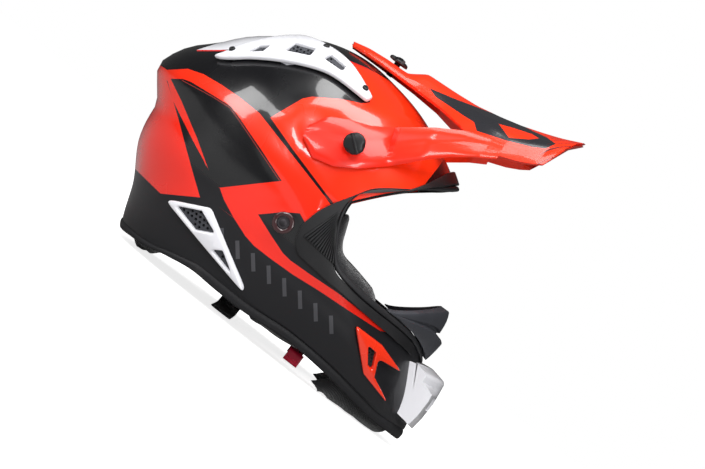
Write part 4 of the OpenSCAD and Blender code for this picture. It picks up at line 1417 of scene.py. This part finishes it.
for s, tag in SIDES:
    finish_piece(make_cheek(s, tag), "fabric", "lining_fabric", "cheek_pad_" + tag, pad=0.7)
    x = float(pad_x(-62.0)) - 12
    tab = [tube("tab", [(s * x, -62, z) for z in (5.4, 8, 11, 14, 16.8)], 0, 28, flat=(6.8, 1.1))]
    for z in (7.4, 9.4):
        grip = [(s * (x + 1.1), -67, z), (s * (x + 1.1), -62, z - 0.4), (s * (x + 1.1), -57, z)]
        tab.append(tube("grip", grip, 0.5, 10, up=(1, 0, 0)))
    finish_piece(join("pull_" + tag, tab), "tab", "red_tab", "release_tab_" + tag)
    stud = [(0, 3.6), (1.9, 3.6), (2.4, 3.2), (2.2, 2.2), (2.3, 1.5), (4.5, 1.4), (5, 1.0), (5, 0.1),
            (0, 0.1)]
    snaps = [lathe("snap", stud, 40, stand((s * (float(pad_x(y)) + 1.3), y, z), (s, 0, 0)))
             for y, z in ((-20, 100), (-30, 40), (-70, 60))]
    finish_piece(join("snaps_" + tag, snaps), "snap", "grey_plastic", "pad_snaps_" + tag)


# ---------------------------------------------------------------- floor, light and camera
def floor():
    n = 40
    g = np.linspace(-6, 6, n)
    X, Y = np.meshgrid(g, g, indexing="ij")
    v = np.stack([X, Y, np.full(X.shape, -0.0004)], -1).reshape(-1, 3) * 1000
    o = add_object("floor", v, grid_faces(n, n))
    m = Nodes("floor_card")
    m.set(Base_Color=(0.9, 0.9, 0.9), Roughness=0.9, Specular_IOR_Level=0.1, Emission_Color=(1, 1, 1))
    ray = m.t.nodes.new("ShaderNodeLightPath").outputs["Is Camera Ray"]
    far = m.ramp(m.math("ADD", m.math("ABSOLUTE", m.x), m.math("ABSOLUTE", m.y)), 0.25, 1.0, 0.8, 1.0)
    m.set(Emission_Strength=m.mul(ray, far), Base_Color=m.mix(ray, (0.35, 0.35, 0.35), (0.9, 0.9, 0.9)))
    o.data.materials.append(m.mat)


floor()
sc = bpy.context.scene
sc.view_settings.view_transform = "Standard"
sc.view_settings.look = "None"
world = bpy.data.worlds.new("studio")
sc.world = world
world.use_nodes = True
back = world.node_tree.nodes["Background"]
back.inputs[0].default_value = (1, 1, 1, 1)
wt = world.node_tree
ray = wt.nodes.new("ShaderNodeLightPath")
level = wt.nodes.new("ShaderNodeMapRange")
level.inputs["To Min"].default_value = 0.07
level.inputs["To Max"].default_value = 1.0
wt.links.new(ray.outputs["Is Camera Ray"], level.inputs["Value"])
wt.links.new(level.outputs[0], back.inputs[1])


def area(name, loc, aim_at, size, power):
    li = bpy.data.lights.new(name, "AREA")
    li.shape = "RECTANGLE"
    li.size, li.size_y = size
    li.energy = power
    o = link(name, li)
    o.location = loc
    o.rotation_euler = (Vector(aim_at) - Vector(loc)).to_track_quat("-Z", "Y").to_euler()


area("top_box", (-0.5, 0.1, 1.6), (0, 0, 0.15), (1.3, 0.8), 25)
area("side_box", (-1.7, -1.1, 0.7), (0, -0.02, 0.12), (0.3, 1.0), 17)
area("rear_box", (-0.9, 1.4, 0.8), (0, 0.05, 0.14), (0.6, 0.9), 14)
area("key_box", (-1.9, 0.5, 1.1), (0, 0.0, 0.14), (0.5, 0.5), 12)
cam = bpy.data.cameras.new("camera")
cam.lens = 156.2
cam.sensor_width = 36
camera = link("camera", cam)
tilt = Matrix(((0, 0, -1), (-0.788, 0.616, 0), (0.616, 0.788, 0)))
camera.matrix_world = Matrix.Translation((-EYE_D, EYE_Y, EYE_Z)) @ tilt.to_4x4()
sc.camera = camera

bpy.context.view_layer.update()
